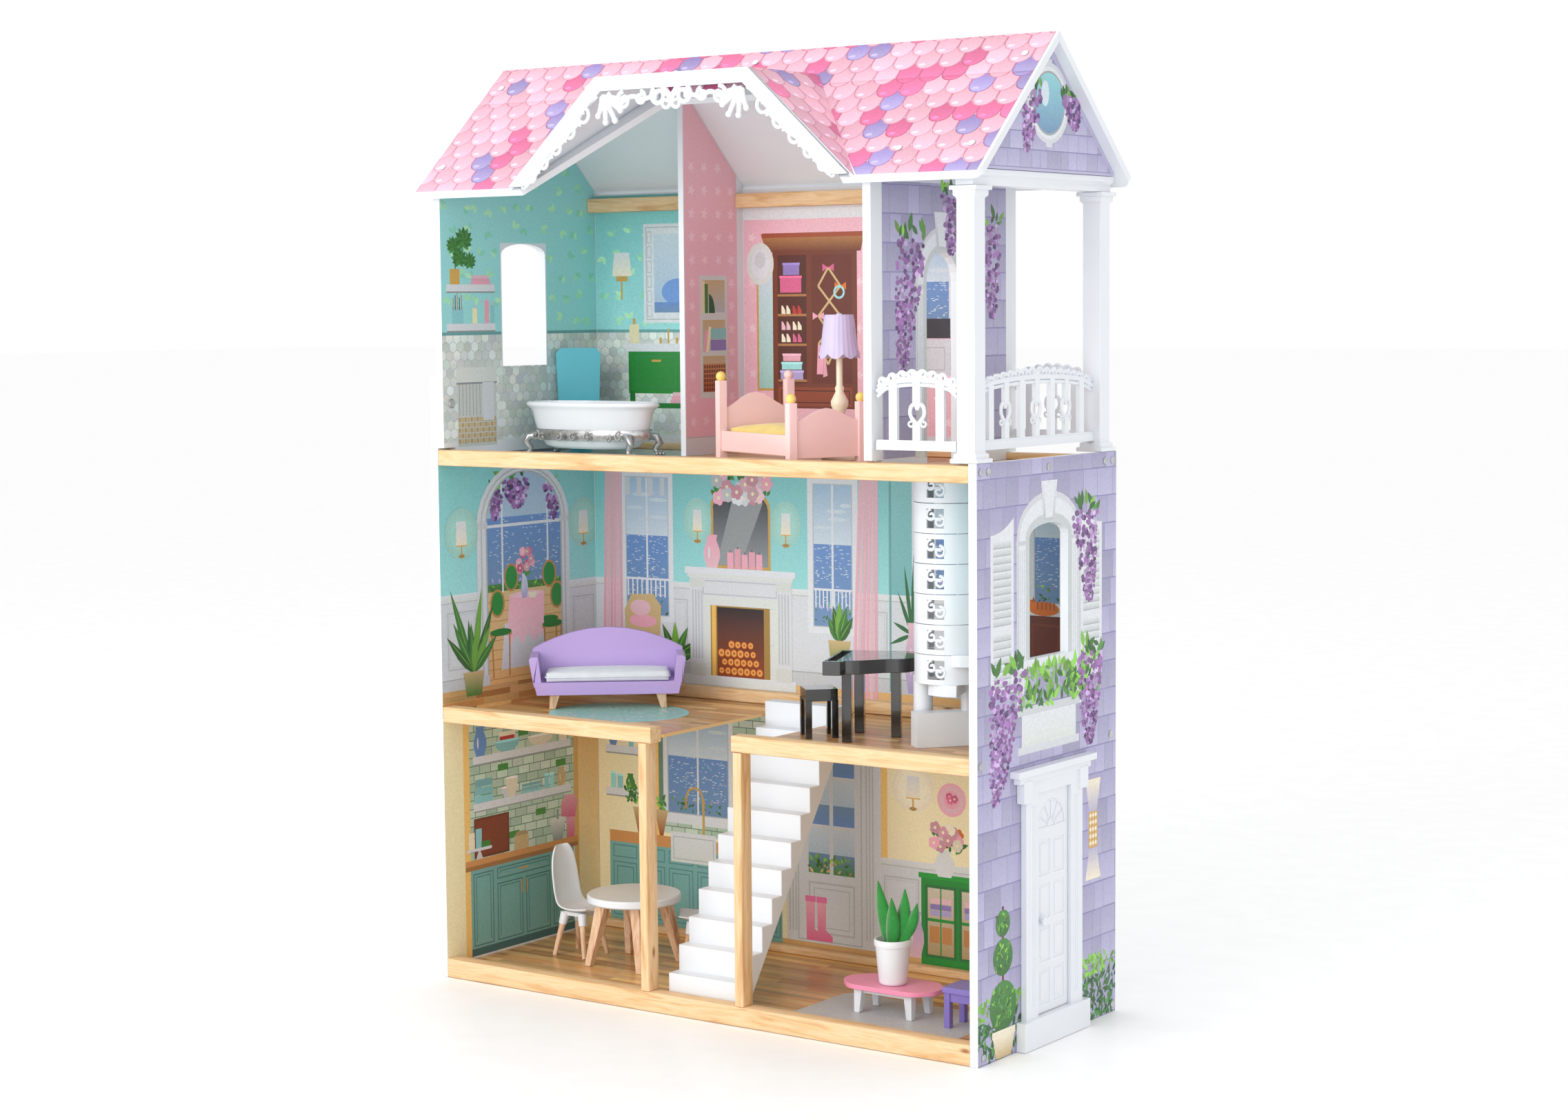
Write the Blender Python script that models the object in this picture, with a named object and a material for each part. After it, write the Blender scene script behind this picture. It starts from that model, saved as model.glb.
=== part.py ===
"""A three-storey wooden dollhouse: printed panels on pine rails, a pitched roof with a dormer, a corner
balcony, two flights of stairs, a front door on hinges, and the furniture that stands in its rooms.

House coordinates are millimetres: X from the left wall's outer face, Y from the walls' front edges to
the back, Z up from the table. metres() turns them into the scene's frame, whose origin is the middle
of the footprint at the bottom.
"""

import math

import bmesh
import bpy
from mathutils import Matrix, Vector

MM = 0.001
GAP = 0.3  # between touching pieces

# Driving dimensions
WIDTH = 830.0
DEPTH = 328.0
WALL = 11.0  # thickness of the four big walls
THIN = 4.0  # floors and back panels
RAIL_DEPTH = 22.0
GROUND_TOP, MID_TOP, UPPER_TOP = 25.0, 360.0, 697.0  # tops of the front rails
RAIL = 20.5  # height of the two upper front rails
GROUND_FLOOR, MID_FLOOR, UPPER_FLOOR = 14.5, 349.0, 686.0  # the floors lie a little under the rails' tops
LOWER_LEFT_TOP, LOWER_RIGHT_TOP = 791.0, 699.0
LOWER_BACK, UPPER_BACK = 321.0, 317.0  # front faces of the back panels
BACK_RAIL_Y = 305.0  # front face of the pine rails that lie along the back of each floor
CROSSBAR_Y = 300.0

# Roof
EAVE_Z, RIDGE_Z = 1027.0, 1196.0
OVERHANG_Y = 17.0
ROOF_LEFT, ROOF_RIGHT = -10.0, 844.0
ROOF = 9.0
RIDGE_Y = DEPTH / 2
PITCH = math.atan2(RIDGE_Z - EAVE_Z, RIDGE_Y + OVERHANG_Y)
ROOF_VERTICAL = ROOF / math.cos(PITCH)

# Balcony, in the top right corner
BALCONY_X = 676.5
PARTITION_X, PARTITION = 266.0, 8.0
PARTITION_Y = 187.0
COLUMN_BASE, COLUMN_SHAFT = 36.0, 24.0
COLUMN_BOTTOM, COLUMN_TOP, BEAM_TOP = LOWER_RIGHT_TOP + GAP, 1014.0, 1033.0

# Stairwell and the straight flight
STAIR_LEFT, STAIR_RIGHT = 361.0, 476.0
STAIR_FRONT = 24.0
WELL_LEFT, WELL_RIGHT, WELL_BACK = 358.0, 488.0, 262.0
STEPS, RISE, RUN = 11, 31.9, 21.2
FIRST_TREAD = 47.0
UNDERSIDE_SLOPE = 1.46

# Front door, on the right wall
DOOR_Y = DEPTH / 2
DOOR_WIDTH, DOOR_BOTTOM, DOOR_TOP = 76.0, 36.0, 303.0
DOOR_THICK = 3.0
HINGE_X = WIDTH + GAP + DOOR_THICK  # the hinge is on the leaf's outer face, at its back edge
HINGE_Y = DOOR_Y + DOOR_WIDTH / 2
FRAME_FACE, CORNICE_FACE = WIDTH + 8, ROOF_RIGHT

TRIM_FRONT = -23.0  # front face of the dormer's trim, the furthest forward of all
MID_X = (ROOF_LEFT + ROOF_RIGHT) / 2
MID_Y = (TRIM_FRONT + DEPTH + OVERHANG_Y) / 2

COLOURS = {  # name: (red, green, blue, roughness, metallic)
    "white board": (0.86, 0.90, 0.92, 0.40, 0.0),
    "purple print": (0.46, 0.42, 0.66, 0.45, 0.0),
    "pine": (0.80, 0.58, 0.36, 0.50, 0.0),
    "roof print": (0.89, 0.45, 0.60, 0.40, 0.0),
    "white plastic": (0.86, 0.88, 0.90, 0.30, 0.0),
    "plank print": (0.62, 0.36, 0.16, 0.35, 0.0),
    "wall print": (0.40, 0.66, 0.66, 0.50, 0.0),
    "pink print": (0.80, 0.50, 0.58, 0.50, 0.0),
    "pink paint": (0.91, 0.62, 0.62, 0.40, 0.0),
    "yellow fabric": (0.88, 0.82, 0.30, 0.90, 0.0),
    "silver plastic": (0.62, 0.64, 0.66, 0.25, 0.6),
    "teal plastic": (0.20, 0.62, 0.70, 0.35, 0.0),
    "cream plastic": (0.82, 0.76, 0.66, 0.35, 0.0),
    "lavender plastic": (0.68, 0.66, 0.85, 0.40, 0.0),
    "lilac paint": (0.56, 0.42, 0.74, 0.35, 0.0),
    "white fabric": (0.88, 0.90, 0.92, 0.90, 0.0),
    "black lacquer": (0.02, 0.02, 0.02, 0.12, 0.0),
    "tan paint": (0.66, 0.40, 0.26, 0.45, 0.0),
    "rose paint": (0.85, 0.36, 0.52, 0.35, 0.0),
    "purple paint": (0.34, 0.27, 0.62, 0.35, 0.0),
    "green felt": (0.02, 0.36, 0.12, 0.95, 0.0),
}


# ---------------------------------------------------------------- shapes, each a bmesh in millimetres


def metres(x, y, z):
    return Vector(((x - MID_X) * MM, (y - MID_Y) * MM, z * MM))


def arc(centre, radius, start, end, count):
    """Points on an arc, or an ellipse's if radius is a pair; angles in degrees."""
    rx, ry = radius if isinstance(radius, tuple) else (radius, radius)
    turn = [math.radians(start + (end - start) * i / count) for i in range(count + 1)]
    return [(centre[0] + rx * math.cos(a), centre[1] + ry * math.sin(a)) for a in turn]


def rounded(x0, y0, x1, y1, radius, count=3):
    """A rectangle's outline with round corners."""
    corners = ((x1, y0, -90), (x1, y1, 0), (x0, y1, 90), (x0, y0, 180))
    points = []
    for x, y, start in corners:
        cx = x - radius if x == x1 else x + radius
        cy = y - radius if y == y1 else y + radius
        points += arc((cx, cy), radius, start, start + 90, count)
    return points


def slab(outline, low, high, plane="xy", holes=()):
    """An outline extruded from low to high, square to the plane that its points lie in."""
    bm = bmesh.new()
    for ring in (outline, *holes):
        verts = [bm.verts.new((u, v, low)) for u, v in ring]
        for a, b in zip(verts, verts[1:] + verts[:1]):
            bm.edges.new((a, b))
    bmesh.ops.triangle_fill(bm, edges=bm.edges[:], use_beauty=True, use_dissolve=False)
    top = bmesh.ops.extrude_face_region(bm, geom=bm.faces[:])["geom"]
    moved = [v for v in top if isinstance(v, bmesh.types.BMVert)]
    bmesh.ops.translate(bm, verts=moved, vec=(0, 0, high - low))
    axes = {"xy": ((1, 0, 0), (0, 1, 0), (0, 0, 1)), "xz": ((1, 0, 0), (0, 0, 1), (0, 1, 0)),
            "yz": ((0, 0, 1), (1, 0, 0), (0, 1, 0))}[plane]
    bmesh.ops.transform(bm, matrix=Matrix(axes).to_4x4(), verts=bm.verts[:])
    return bm


def block(low, high):
    return slab([(low[0], low[1]), (high[0], low[1]), (high[0], high[1]), (low[0], high[1])],
                low[2], high[2])


def turned(profile, centre=(0, 0), sides=16, squash=1.0):
    """A solid of revolution about Z, from (radius, height) points, bottom to top."""
    bm = bmesh.new()
    rings = []
    for radius, z in profile:
        rings.append([bm.verts.new((centre[0] + x, centre[1] + y * squash, z))
                      for x, y in arc((0, 0), radius, 0, 360, sides)[:-1]])
    for low, high in zip(rings, rings[1:]):
        for i in range(sides):
            j = (i + 1) % sides
            bm.faces.new((low[i], low[j], high[j], high[i]))
    bm.faces.new(rings[0][::-1])
    bm.faces.new(rings[-1])
    return bm


def leg(foot, head, half, half_head=None):
    """A square tapered leg from its foot to its head."""
    half_head = half_head or half
    bm = bmesh.new()
    rings = [[bm.verts.new((x + sx * h, y + sy * h, z)) for sx, sy in ((-1, -1), (1, -1), (1, 1), (-1, 1))]
             for (x, y, z), h in ((foot, half), (head, half_head))]
    for i in range(4):
        j = (i + 1) % 4
        bm.faces.new((rings[0][i], rings[0][j], rings[1][j], rings[1][i]))
    bm.faces.new(rings[0][::-1])
    bm.faces.new(rings[1])
    return bm


def ball(centre, radius, flat=1.0):
    bm = bmesh.new()
    bmesh.ops.create_uvsphere(bm, u_segments=12, v_segments=8, radius=radius)
    bmesh.ops.scale(bm, vec=(1, 1, flat), verts=bm.verts[:])
    bmesh.ops.translate(bm, vec=centre, verts=bm.verts[:])
    return bm


# ---------------------------------------------------------------- objects


def material(name):
    if name in bpy.data.materials:
        return bpy.data.materials[name]
    red, green, blue, roughness, metallic = COLOURS[name]
    made = bpy.data.materials.new(name)
    made.use_nodes = True
    shader = made.node_tree.nodes["Principled BSDF"]
    shader.inputs["Base Color"].default_value = (red, green, blue, 1)
    shader.inputs["Roughness"].default_value = roughness
    shader.inputs["Metallic"].default_value = metallic
    return made


def new_object(name, bm, at, turn, collection):
    bmesh.ops.scale(bm, vec=(MM, MM, MM), verts=bm.verts[:])
    bmesh.ops.recalc_face_normals(bm, faces=bm.faces[:])
    mesh = bpy.data.meshes.new(name)
    bm.to_mesh(mesh)
    bm.free()
    made = bpy.data.objects.new(name, mesh)
    made.location = at
    made.rotation_euler.z = math.radians(turn)
    collection.objects.link(made)
    return made


def boolean(made, operation, shapes):
    """A Boolean modifier on an object, with its helper shapes in a hidden collection."""
    helpers = bpy.data.collections.new(f"{made.name} {operation.lower()}")
    bpy.context.scene.collection.children.link(helpers)
    helpers.hide_render = True
    for number, bm in enumerate(shapes):
        turn = math.degrees(made.rotation_euler.z)
        helper = new_object(f"{made.name} {operation.lower()} {number}", bm, made.location, turn, helpers)
        helper.hide_render = True
        helper.display_type = "WIRE"
    modifier = made.modifiers.new(operation.title(), "BOOLEAN")
    modifier.operation = operation
    modifier.operand_type = "COLLECTION"
    modifier.collection = helpers
    modifier.solver = "EXACT"


def part(name, finish, shapes, at=(0, 0, 0), turn=0, cuts=()):
    """One named piece: its first shape, with the other shapes joined to it and the cuts taken away."""
    made = new_object(name, shapes[0], metres(*at), turn, bpy.context.scene.collection)
    made.data.materials.append(material(finish))
    if len(shapes) > 1:
        boolean(made, "UNION", shapes[1:])
    if cuts:
        boolean(made, "DIFFERENCE", cuts)
    made.data.shade_smooth()
    made.data.set_sharp_from_angle(angle=math.radians(30))
    return made


# ---------------------------------------------------------------- walls, floors and rails


def roof_under(y):
    """Height of the roof's underside over a point, less the gap."""
    slope = math.tan(PITCH)
    return RIDGE_Z - abs(y - RIDGE_Y) * slope - ROOF_VERTICAL - GAP


def arched_hole(y_mid, half, bottom, spring, rise):
    return [(y_mid + half, bottom), *arc((y_mid, spring), (half, rise), 0, 180, 10), (y_mid - half, bottom)]


def gable_wall(bottom):
    """Outline of an upper wall: notched over the front and back rails and pointed under the roof."""
    notch, back_notch = RAIL_DEPTH + GAP, BACK_RAIL_Y - GAP
    over_front, over_back = UPPER_TOP + 2.5, UPPER_TOP - 2 + GAP
    return [(0, over_front), (notch, over_front), (notch, bottom), (back_notch, bottom),
            (back_notch, over_back), (DEPTH, over_back), (DEPTH, roof_under(DEPTH)),
            (RIDGE_Y, roof_under(RIDGE_Y)), (0, roof_under(0))]


def walls():
    lower = [(0, 0), (DEPTH, 0), (DEPTH, LOWER_LEFT_TOP), (0, LOWER_LEFT_TOP)]
    part("left_lower_wall", "white board", [slab(lower, 0, WALL, "yz")])

    right = [(0, 0), (DEPTH, 0), (DEPTH, LOWER_RIGHT_TOP), (0, LOWER_RIGHT_TOP)]
    window = arched_hole(DOOR_Y, 45.5, 463, 607, 15)
    half = DOOR_WIDTH / 2 - 2
    doorway = [(DOOR_Y - half, 16), (DOOR_Y + half, 16), (DOOR_Y + half, 300), (DOOR_Y - half, 300)]
    part("right_wall", "purple print", [slab(right, WIDTH - WALL, WIDTH, "yz", (window, doorway))])

    # The upper walls stand on the upper floor and pass over its rails.
    bath_window = arched_hole(RIDGE_Y, 45.0, 803, 951, 14)
    part("left_upper_wall", "wall print",
         [slab(gable_wall(UPPER_FLOOR + 4), WALL + GAP, 2 * WALL, "yz", (bath_window,))])
    # The balcony's doorway is open down to the floor, so it is part of the outline.
    outline = gable_wall(UPPER_FLOOR + GAP)
    door = arched_hole(156, 36, UPPER_FLOOR + GAP, 907, 36)
    outline[3:3] = door[::-1]
    part("balcony_wall", "purple print", [slab(outline, BALCONY_X, BALCONY_X + WALL, "yz")])

    back, over = UPPER_BACK - GAP, UPPER_TOP - 2 + GAP
    partition = [(PARTITION_Y, UPPER_FLOOR + GAP), (BACK_RAIL_Y - GAP, UPPER_FLOOR + GAP),
                 (BACK_RAIL_Y - GAP, over), (back, over), (back, roof_under(back)),
                 (PARTITION_Y, roof_under(PARTITION_Y))]
    part("partition_wall", "pink print", [slab(partition, PARTITION_X, PARTITION_X + PARTITION, "yz")])


def floors():
    left, right = WALL + GAP, WIDTH - WALL - GAP
    front, back = RAIL_DEPTH + GAP, LOWER_BACK - GAP
    plain = [(left, front), (right, front), (right, back), (left, back)]
    part("ground_floor", "plank print", [slab(plain, GROUND_FLOOR - THIN, GROUND_FLOOR)])
    # The stairwell runs in from the front, between the two front rails.
    well = [(left, front), (WELL_LEFT, front), (WELL_LEFT, WELL_BACK), (WELL_RIGHT, WELL_BACK),
            (WELL_RIGHT, front), (right, front), (right, back), (left, back)]
    part("mid_floor", "plank print", [slab(well, MID_FLOOR - THIN, MID_FLOOR)])
    part("upper_floor", "white board", [slab(plain, UPPER_FLOOR - THIN, UPPER_FLOOR)])


def rail(name, x0, x1, y0, y1, z0, z1):
    """A pine rail along X with rounded edges."""
    part(name, "pine", [slab(rounded(y0, z0, y1, z1, 2.0, 2), x0, x1, "yz")])


def rails():
    left, right = WALL + GAP, WIDTH - WALL - GAP
    rail("front_rail_ground", left, right, 0, RAIL_DEPTH, 0, GROUND_TOP)
    rail("front_rail_mid_left", left, 355.4, 0, RAIL_DEPTH, MID_TOP - RAIL, MID_TOP)
    rail("front_rail_mid_right", 479.5, right, 0, RAIL_DEPTH, MID_TOP - RAIL, MID_TOP)
    rail("front_rail_upper", left, right, 0, RAIL_DEPTH, UPPER_TOP - RAIL, UPPER_TOP)
    back = LOWER_BACK - GAP
    rail("back_rail_ground", left, right, BACK_RAIL_Y, back, GROUND_FLOOR + GAP, GROUND_TOP)
    rail("back_rail_mid", left, right, BACK_RAIL_Y, back, MID_FLOOR + GAP, MID_TOP + 6)
    rail("back_rail_upper", left, right, BACK_RAIL_Y, UPPER_BACK - GAP, UPPER_FLOOR + GAP, UPPER_TOP - 2)
    for name, x in (("post_left", 334.7), ("post_right", 481.0)):
        outline = rounded(x, 0, x + 13, RAIL_DEPTH, 2.0, 2)
        part(name, "pine", [slab(outline, GROUND_TOP + GAP, MID_TOP - RAIL - GAP)])
    bar = (CROSSBAR_Y, UPPER_BACK - GAP, 1009, 1028)
    rail("crossbar_left", 2 * WALL + GAP, PARTITION_X - GAP, *bar)
    rail("crossbar_right", PARTITION_X + PARTITION + GAP, BALCONY_X - GAP, *bar)


def back_panels():
    def panel(name, finish, x0, x1, y, z0, z1):
        part(name, finish, [block((x0, y, z0), (x1, y + THIN, z1))])

    left, right = WALL + GAP, WIDTH - WALL - GAP
    panel("back_panel_lower", "wall print", left, right, LOWER_BACK, 2, UPPER_FLOOR)
    low, high = UPPER_FLOOR + GAP, 1034
    seam = PARTITION_X + 5
    panel("back_panel_bath", "wall print", 2 * WALL + GAP, seam, UPPER_BACK, low, high)
    panel("back_panel_bedroom", "pink print", seam + GAP, BALCONY_X - GAP, UPPER_BACK, low, high)


# ---------------------------------------------------------------- roof


def roof_slope(outline, side):
    """One slope: an outline in the slope's own plane (X and the distance up from the eave), mitred at the ridge.
    side is -1 for the front slope and 1 for the back one."""
    bm = slab(outline, -ROOF, 0)
    up = Vector((0, math.cos(PITCH), math.sin(PITCH)))
    out = Vector((0, -math.sin(PITCH), math.cos(PITCH)))
    for vert in bm.verts:
        u, v, w = vert.co
        point = Vector((u, -OVERHANG_Y, EAVE_Z)) + up * v + out * w
        past = max(0, point.y - (RIDGE_Y - GAP / 2))
        point -= up * (past / up.y)
        if side > 0:
            point.y = DEPTH - point.y
        vert.co = point
    return bm


DORMER_MID = 415.0
DORMER_FOOT, DORMER_TOP = (256.0, 1033.0), (115.0, 1160.0)  # half width and height of its outline
DORMER_WALL = 4.0


def above_roof():
    """A wedge that fills the space under the front slope's face, for cutting what stands on it."""
    slope = math.tan(PITCH)
    edge = EAVE_Z + GAP / math.cos(PITCH)
    front, back, low = -OVERHANG_Y - 60, RIDGE_Y + 20, EAVE_Z - 127
    return slab([(front, edge + (front + OVERHANG_Y) * slope), (front, low), (back, low),
                 (back, edge + (back + OVERHANG_Y) * slope)], ROOF_LEFT, ROOF_RIGHT, "yz")


def roof():
    length = (RIDGE_Y + OVERHANG_Y) / math.cos(PITCH)
    corner = 12.0
    low_left = arc((ROOF_LEFT + corner, corner), corner, 180, 270, 4)
    low_right = arc((ROOF_RIGHT - corner, corner), corner, 270, 360, 4)
    top = [(ROOF_RIGHT, length), (ROOF_LEFT, length)]
    # The dormer's opening runs in from the eave.
    wide, narrow, height = 242.0, 104.0, 163.0
    opening = [(DORMER_MID - wide, 0), (DORMER_MID - narrow, height), (DORMER_MID + narrow, height),
               (DORMER_MID + wide, 0)]
    part("roof_front", "roof print", [roof_slope([*low_left, *opening, *low_right, *top], -1)])
    part("roof_back", "roof print", [roof_slope([*low_left, *low_right, *top], 1)])


def dormer():
    front, back = -OVERHANG_Y + GAP, 150
    (foot, foot_z), (head, head_z) = DORMER_FOOT, DORMER_TOP
    run, rise = foot - head, head_z - foot_z
    foot, foot_z = foot + run / rise * 10, foot_z - 10  # down past the eave, to be cut by the slope
    run, rise = foot - head, head_z - foot_z
    length = math.hypot(run, rise)
    inward = DORMER_WALL * length / rise  # sideways thickness of a cheek
    head_in = head - DORMER_WALL * math.tan(math.atan2(rise, run) / 2)
    for name, side in (("dormer_left_cheek", -1), ("dormer_right_cheek", 1)):
        outline = [(DORMER_MID + side * x, z) for x, z in
                   ((foot, foot_z), (head + GAP, head_z - GAP), (head_in + GAP, head_z - DORMER_WALL),
                    (foot - inward, foot_z))]
        part(name, "roof print", [slab(outline, front, back, "xz")], cuts=[above_roof()])
    top = [(DORMER_MID + x, z) for x, z in ((-head, head_z), (head, head_z), (head_in, head_z - DORMER_WALL),
                                            (-head_in, head_z - DORMER_WALL))]
    part("dormer_top", "roof print", [slab(top, front, back, "xz")], cuts=[above_roof()])


def dormer_trim():
    """The white fretwork on the dormer's front: a moulded band with scrolls and a heart hanging from it."""
    band = 22.0
    front, back = TRIM_FRONT, -OVERHANG_Y
    (foot, foot_z), (head, head_z) = DORMER_FOOT, DORMER_TOP
    inner_foot, inner_head = foot - 1.45 * band, head - 0.45 * band
    outline = [(-foot, foot_z), (-foot + 14, foot_z + 2), (-inner_foot, foot_z + 4),
               (-inner_head, head_z - band), (inner_head, head_z - band),
               (inner_foot, foot_z + 4), (foot - 14, foot_z + 2), (foot, foot_z), (head, head_z), (-head, head_z)]
    shapes = [slab(outline, front, back, "xz")]
    scrolls = [(0, 1138, 14), (-10, 1122, 9), (10, 1122, 9), (0, 1152, 18)]
    for side in (-1, 1):
        scrolls += [(side * x, z, r) for x, z, r in ((100, 1132, 20), (118, 1122, 14), (84, 1128, 12),
                                                     (156, 1086, 14), (170, 1078, 10), (203, 1042, 11))]
    for x, z, radius in scrolls:
        shapes.append(slab(arc((x, z), radius, 0, 360, 12)[:-1], front + 1, back - 1, "xz"))
    part("dormer_trim", "white plastic", shapes, at=(DORMER_MID, 0, 0))


def gable_panel():
    """The board that closes the roof's right end, over the balcony."""
    bottom, inset, sunk = BEAM_TOP + GAP, 8, 5
    outline = [(inset, bottom), (DEPTH - inset, bottom), (DEPTH - inset, roof_under(DEPTH - inset)),
               (RIDGE_Y, roof_under(RIDGE_Y)), (inset, roof_under(inset))]
    part("gable_panel", "purple print", [slab(outline, WIDTH - WALL - sunk, WIDTH - sunk, "yz")])


# ---------------------------------------------------------------- balcony


def column(name, y):
    """A square column: stepped base, panelled shaft and stepped capital."""
    half, shaft = COLUMN_BASE / 2, COLUMN_SHAFT / 2
    foot, head = COLUMN_BOTTOM, COLUMN_TOP
    levels = ((foot, half), (foot + 5, half), (foot + 5, half - 3), (foot + 10, half - 3),
              (foot + 12, shaft), (head - 14, shaft), (head - 11, half - 3), (head - 5, half - 3),
              (head - 5, half), (head, half))
    # Four sides of a turned shape make a square one, with its corners at half * sqrt(2).
    profile = [(radius * math.sqrt(2), z) for z, radius in levels]
    bm = turned(profile, sides=4)
    bmesh.ops.rotate(bm, matrix=Matrix.Rotation(math.pi / 4, 3, "Z"), verts=bm.verts[:])
    part(name, "white plastic", [bm], at=(WIDTH - half, y, 0))


RAILING_BOTTOM, RAILING_BAR = 712.4, 10.6
HEART_Z, RAILING_TOP = 755.0, 803.0


def railing(name, length, at, turn, plain, hearts, end_z):
    """A moulded railing along its own X: bottom bar, flat balusters, balusters with a heart, curved top."""
    half, thick = length / 2, 4.0
    shapes = [block((-half, -thick, RAILING_BOTTOM), (half, thick, RAILING_BOTTOM + RAILING_BAR))]
    top = RAILING_TOP - 14
    crown = [(-half, end_z - 14), *arc((0, end_z - 14), (half * 0.96, top - end_z + 8), 180, 0, 10),
             (half, end_z - 14), (half, end_z), *arc((0, end_z), (half * 0.96, RAILING_TOP - end_z), 0, 180, 14),
             (-half, end_z)]
    shapes.append(slab(crown, -thick, thick, "xz"))
    foot = RAILING_BOTTOM + RAILING_BAR - 1
    for x in (*plain, *hearts):
        reach = end_z - 14 + (top - end_z + 8) * math.sqrt(max(0, 1 - (x / half) ** 2)) + 5
        shapes.append(block((x - 6, 1 - thick, foot), (x + 6, thick - 1, reach)))
    for x in hearts:
        ring = arc((x, HEART_Z), 11, 0, 360, 12)[:-1]
        shapes.append(slab(ring, 0.5 - thick, thick - 0.5, "xz"))
    part(name, "white plastic", shapes, at=at, turn=turn)


def balcony():
    half = COLUMN_BASE / 2
    column("column_front", half)
    column("column_back", DEPTH - half)
    # The beam steps out under its top and stays under the sloping eaves.
    bottom = COLUMN_TOP + GAP
    inner, outer = WIDTH - 30, WIDTH - 2
    beam = [(inner, bottom), (outer - 4, bottom), (outer - 4, bottom + 9), (outer, bottom + 12),
            (outer, BEAM_TOP), (inner, BEAM_TOP)]
    part("balcony_beam", "white plastic", [slab(beam, 4, DEPTH - 4, "xz")])
    inside, outside = 691.0, WIDTH - half - COLUMN_SHAFT / 2 - GAP
    across, middle = outside - inside, (inside + outside) / 2
    spacing = 32.0
    for name, y in (("railing_front", 8.0), ("railing_back", DEPTH - 8.0)):
        railing(name, across, (middle, y, 0), 0, (-spacing, spacing), (0,), 784)
    along = DEPTH - COLUMN_BASE - COLUMN_SHAFT - 2 * GAP
    step = 35.2
    railing("railing_side", along, (WIDTH - half, DEPTH / 2, 0), 90, (-3 * step, -step, step, 3 * step),
            (-2 * step, 0, 2 * step), 784)


# ---------------------------------------------------------------- stairs


def straight_stairs():
    """The moulded flight from the ground floor up into the stairwell."""
    floor = GROUND_FLOOR + GAP
    outline = [(STAIR_FRONT, floor)]
    for step in range(STEPS):
        y, z = STAIR_FRONT + step * RUN, FIRST_TREAD + step * RISE
        outline += [(y, z), (y + RUN, z)]
    end, toe = outline[-1][0], STAIR_FRONT + 11.6
    outline += [(end, floor + (end - toe) * UNDERSIDE_SLOPE), (toe, floor)]
    part("straight_stairs", "white plastic", [slab(outline, STAIR_LEFT, STAIR_RIGHT, "yz")])


SPIRAL_X, SPIRAL_Y, SPIRAL_R, SPIRAL_WALL = 722.0, 152.0, 58.0, 3.0
SPIRAL_LEVEL, DRUM_BOTTOM = 36.3, 430.0


def sector(outer, inner, start, end, low, high, count):
    """Part of a ring about the spiral's post; inner 0 makes a wedge."""
    ring = arc((0, 0), outer, start, end, count)
    ring += arc((0, 0), inner, end, start, count) if inner else [(0, 0)]
    return slab(ring, low, high)


def spiral_stairs():
    """The moulded spiral up to the balcony: a post with wedge treads turning about it, and a drum round them."""
    foot, head = MID_FLOOR + GAP, UPPER_FLOOR - THIN - GAP
    place = (SPIRAL_X, SPIRAL_Y, 0)
    inside = SPIRAL_R - SPIRAL_WALL - GAP
    first_turn, turn_step = 229, 38  # the lowest tread points out to the front left
    cosine, sine = math.cos(math.radians(first_turn)), math.sin(math.radians(first_turn))
    wedge = [(x * cosine - y * sine, x * sine + y * cosine) for x, y in ((-4, -9), (66, -13), (66, 13), (-4, 9))]
    treads = [turned([(7, foot), (7, head)], sides=12), slab(wedge, foot, foot + 42)]
    level, turn, thick = foot + 42, first_turn, 14
    while level + SPIRAL_LEVEL < head:
        turn += turn_step
        level += SPIRAL_LEVEL
        treads.append(sector(inside, 0, turn - 22, turn + 22, level - thick, level, 4))
    part("spiral_treads", "white plastic", treads, at=place)
    # The drum stands on a tube beside the lowest tread, and is open towards the back right.
    rim = DRUM_BOTTOM + 5
    drum = [sector(SPIRAL_R, inside + GAP, 150, 390, DRUM_BOTTOM, head, 20),
            sector(SPIRAL_R - 1.2, 14, 151.3, 205, DRUM_BOTTOM + 0.4, rim, 6),
            turned([(12, foot), (12, rim - 1)], (-36, -4), 12)]
    part("spiral_drum", "white plastic", drum, at=place)


# ---------------------------------------------------------------- front door


def door_frame():
    """Jambs, head, cornice on brackets and a step, all one moulding on the wall's outside."""
    inner, outer = DOOR_WIDTH / 2 + 1, 67.0
    back = WIDTH + GAP
    opening = [(-inner, DOOR_BOTTOM - 1), (inner, DOOR_BOTTOM - 1), (inner, DOOR_TOP + 1), (-inner, DOOR_TOP + 1)]
    frame = [(-outer, 2), (outer, 2), (outer, 322), (-outer, 322)]
    shapes = [slab(frame, back, FRAME_FACE, "yz", (opening,)),
              block((back, -92, 328), (CORNICE_FACE, 92, 336)),
              block((back, -84, 320), (CORNICE_FACE - 4, 84, 330)),
              block((back, -78, 0), (CORNICE_FACE - 1, 78, DOOR_BOTTOM - 1))]
    for side in (-1, 1):
        low, high = sorted((side * 56.0, side * 76.0))
        shapes.append(block((back, low, 296), (FRAME_FACE + 3, high, 322)))
    part("door_frame", "white plastic", shapes, at=(0, DOOR_Y, 0))


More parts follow.
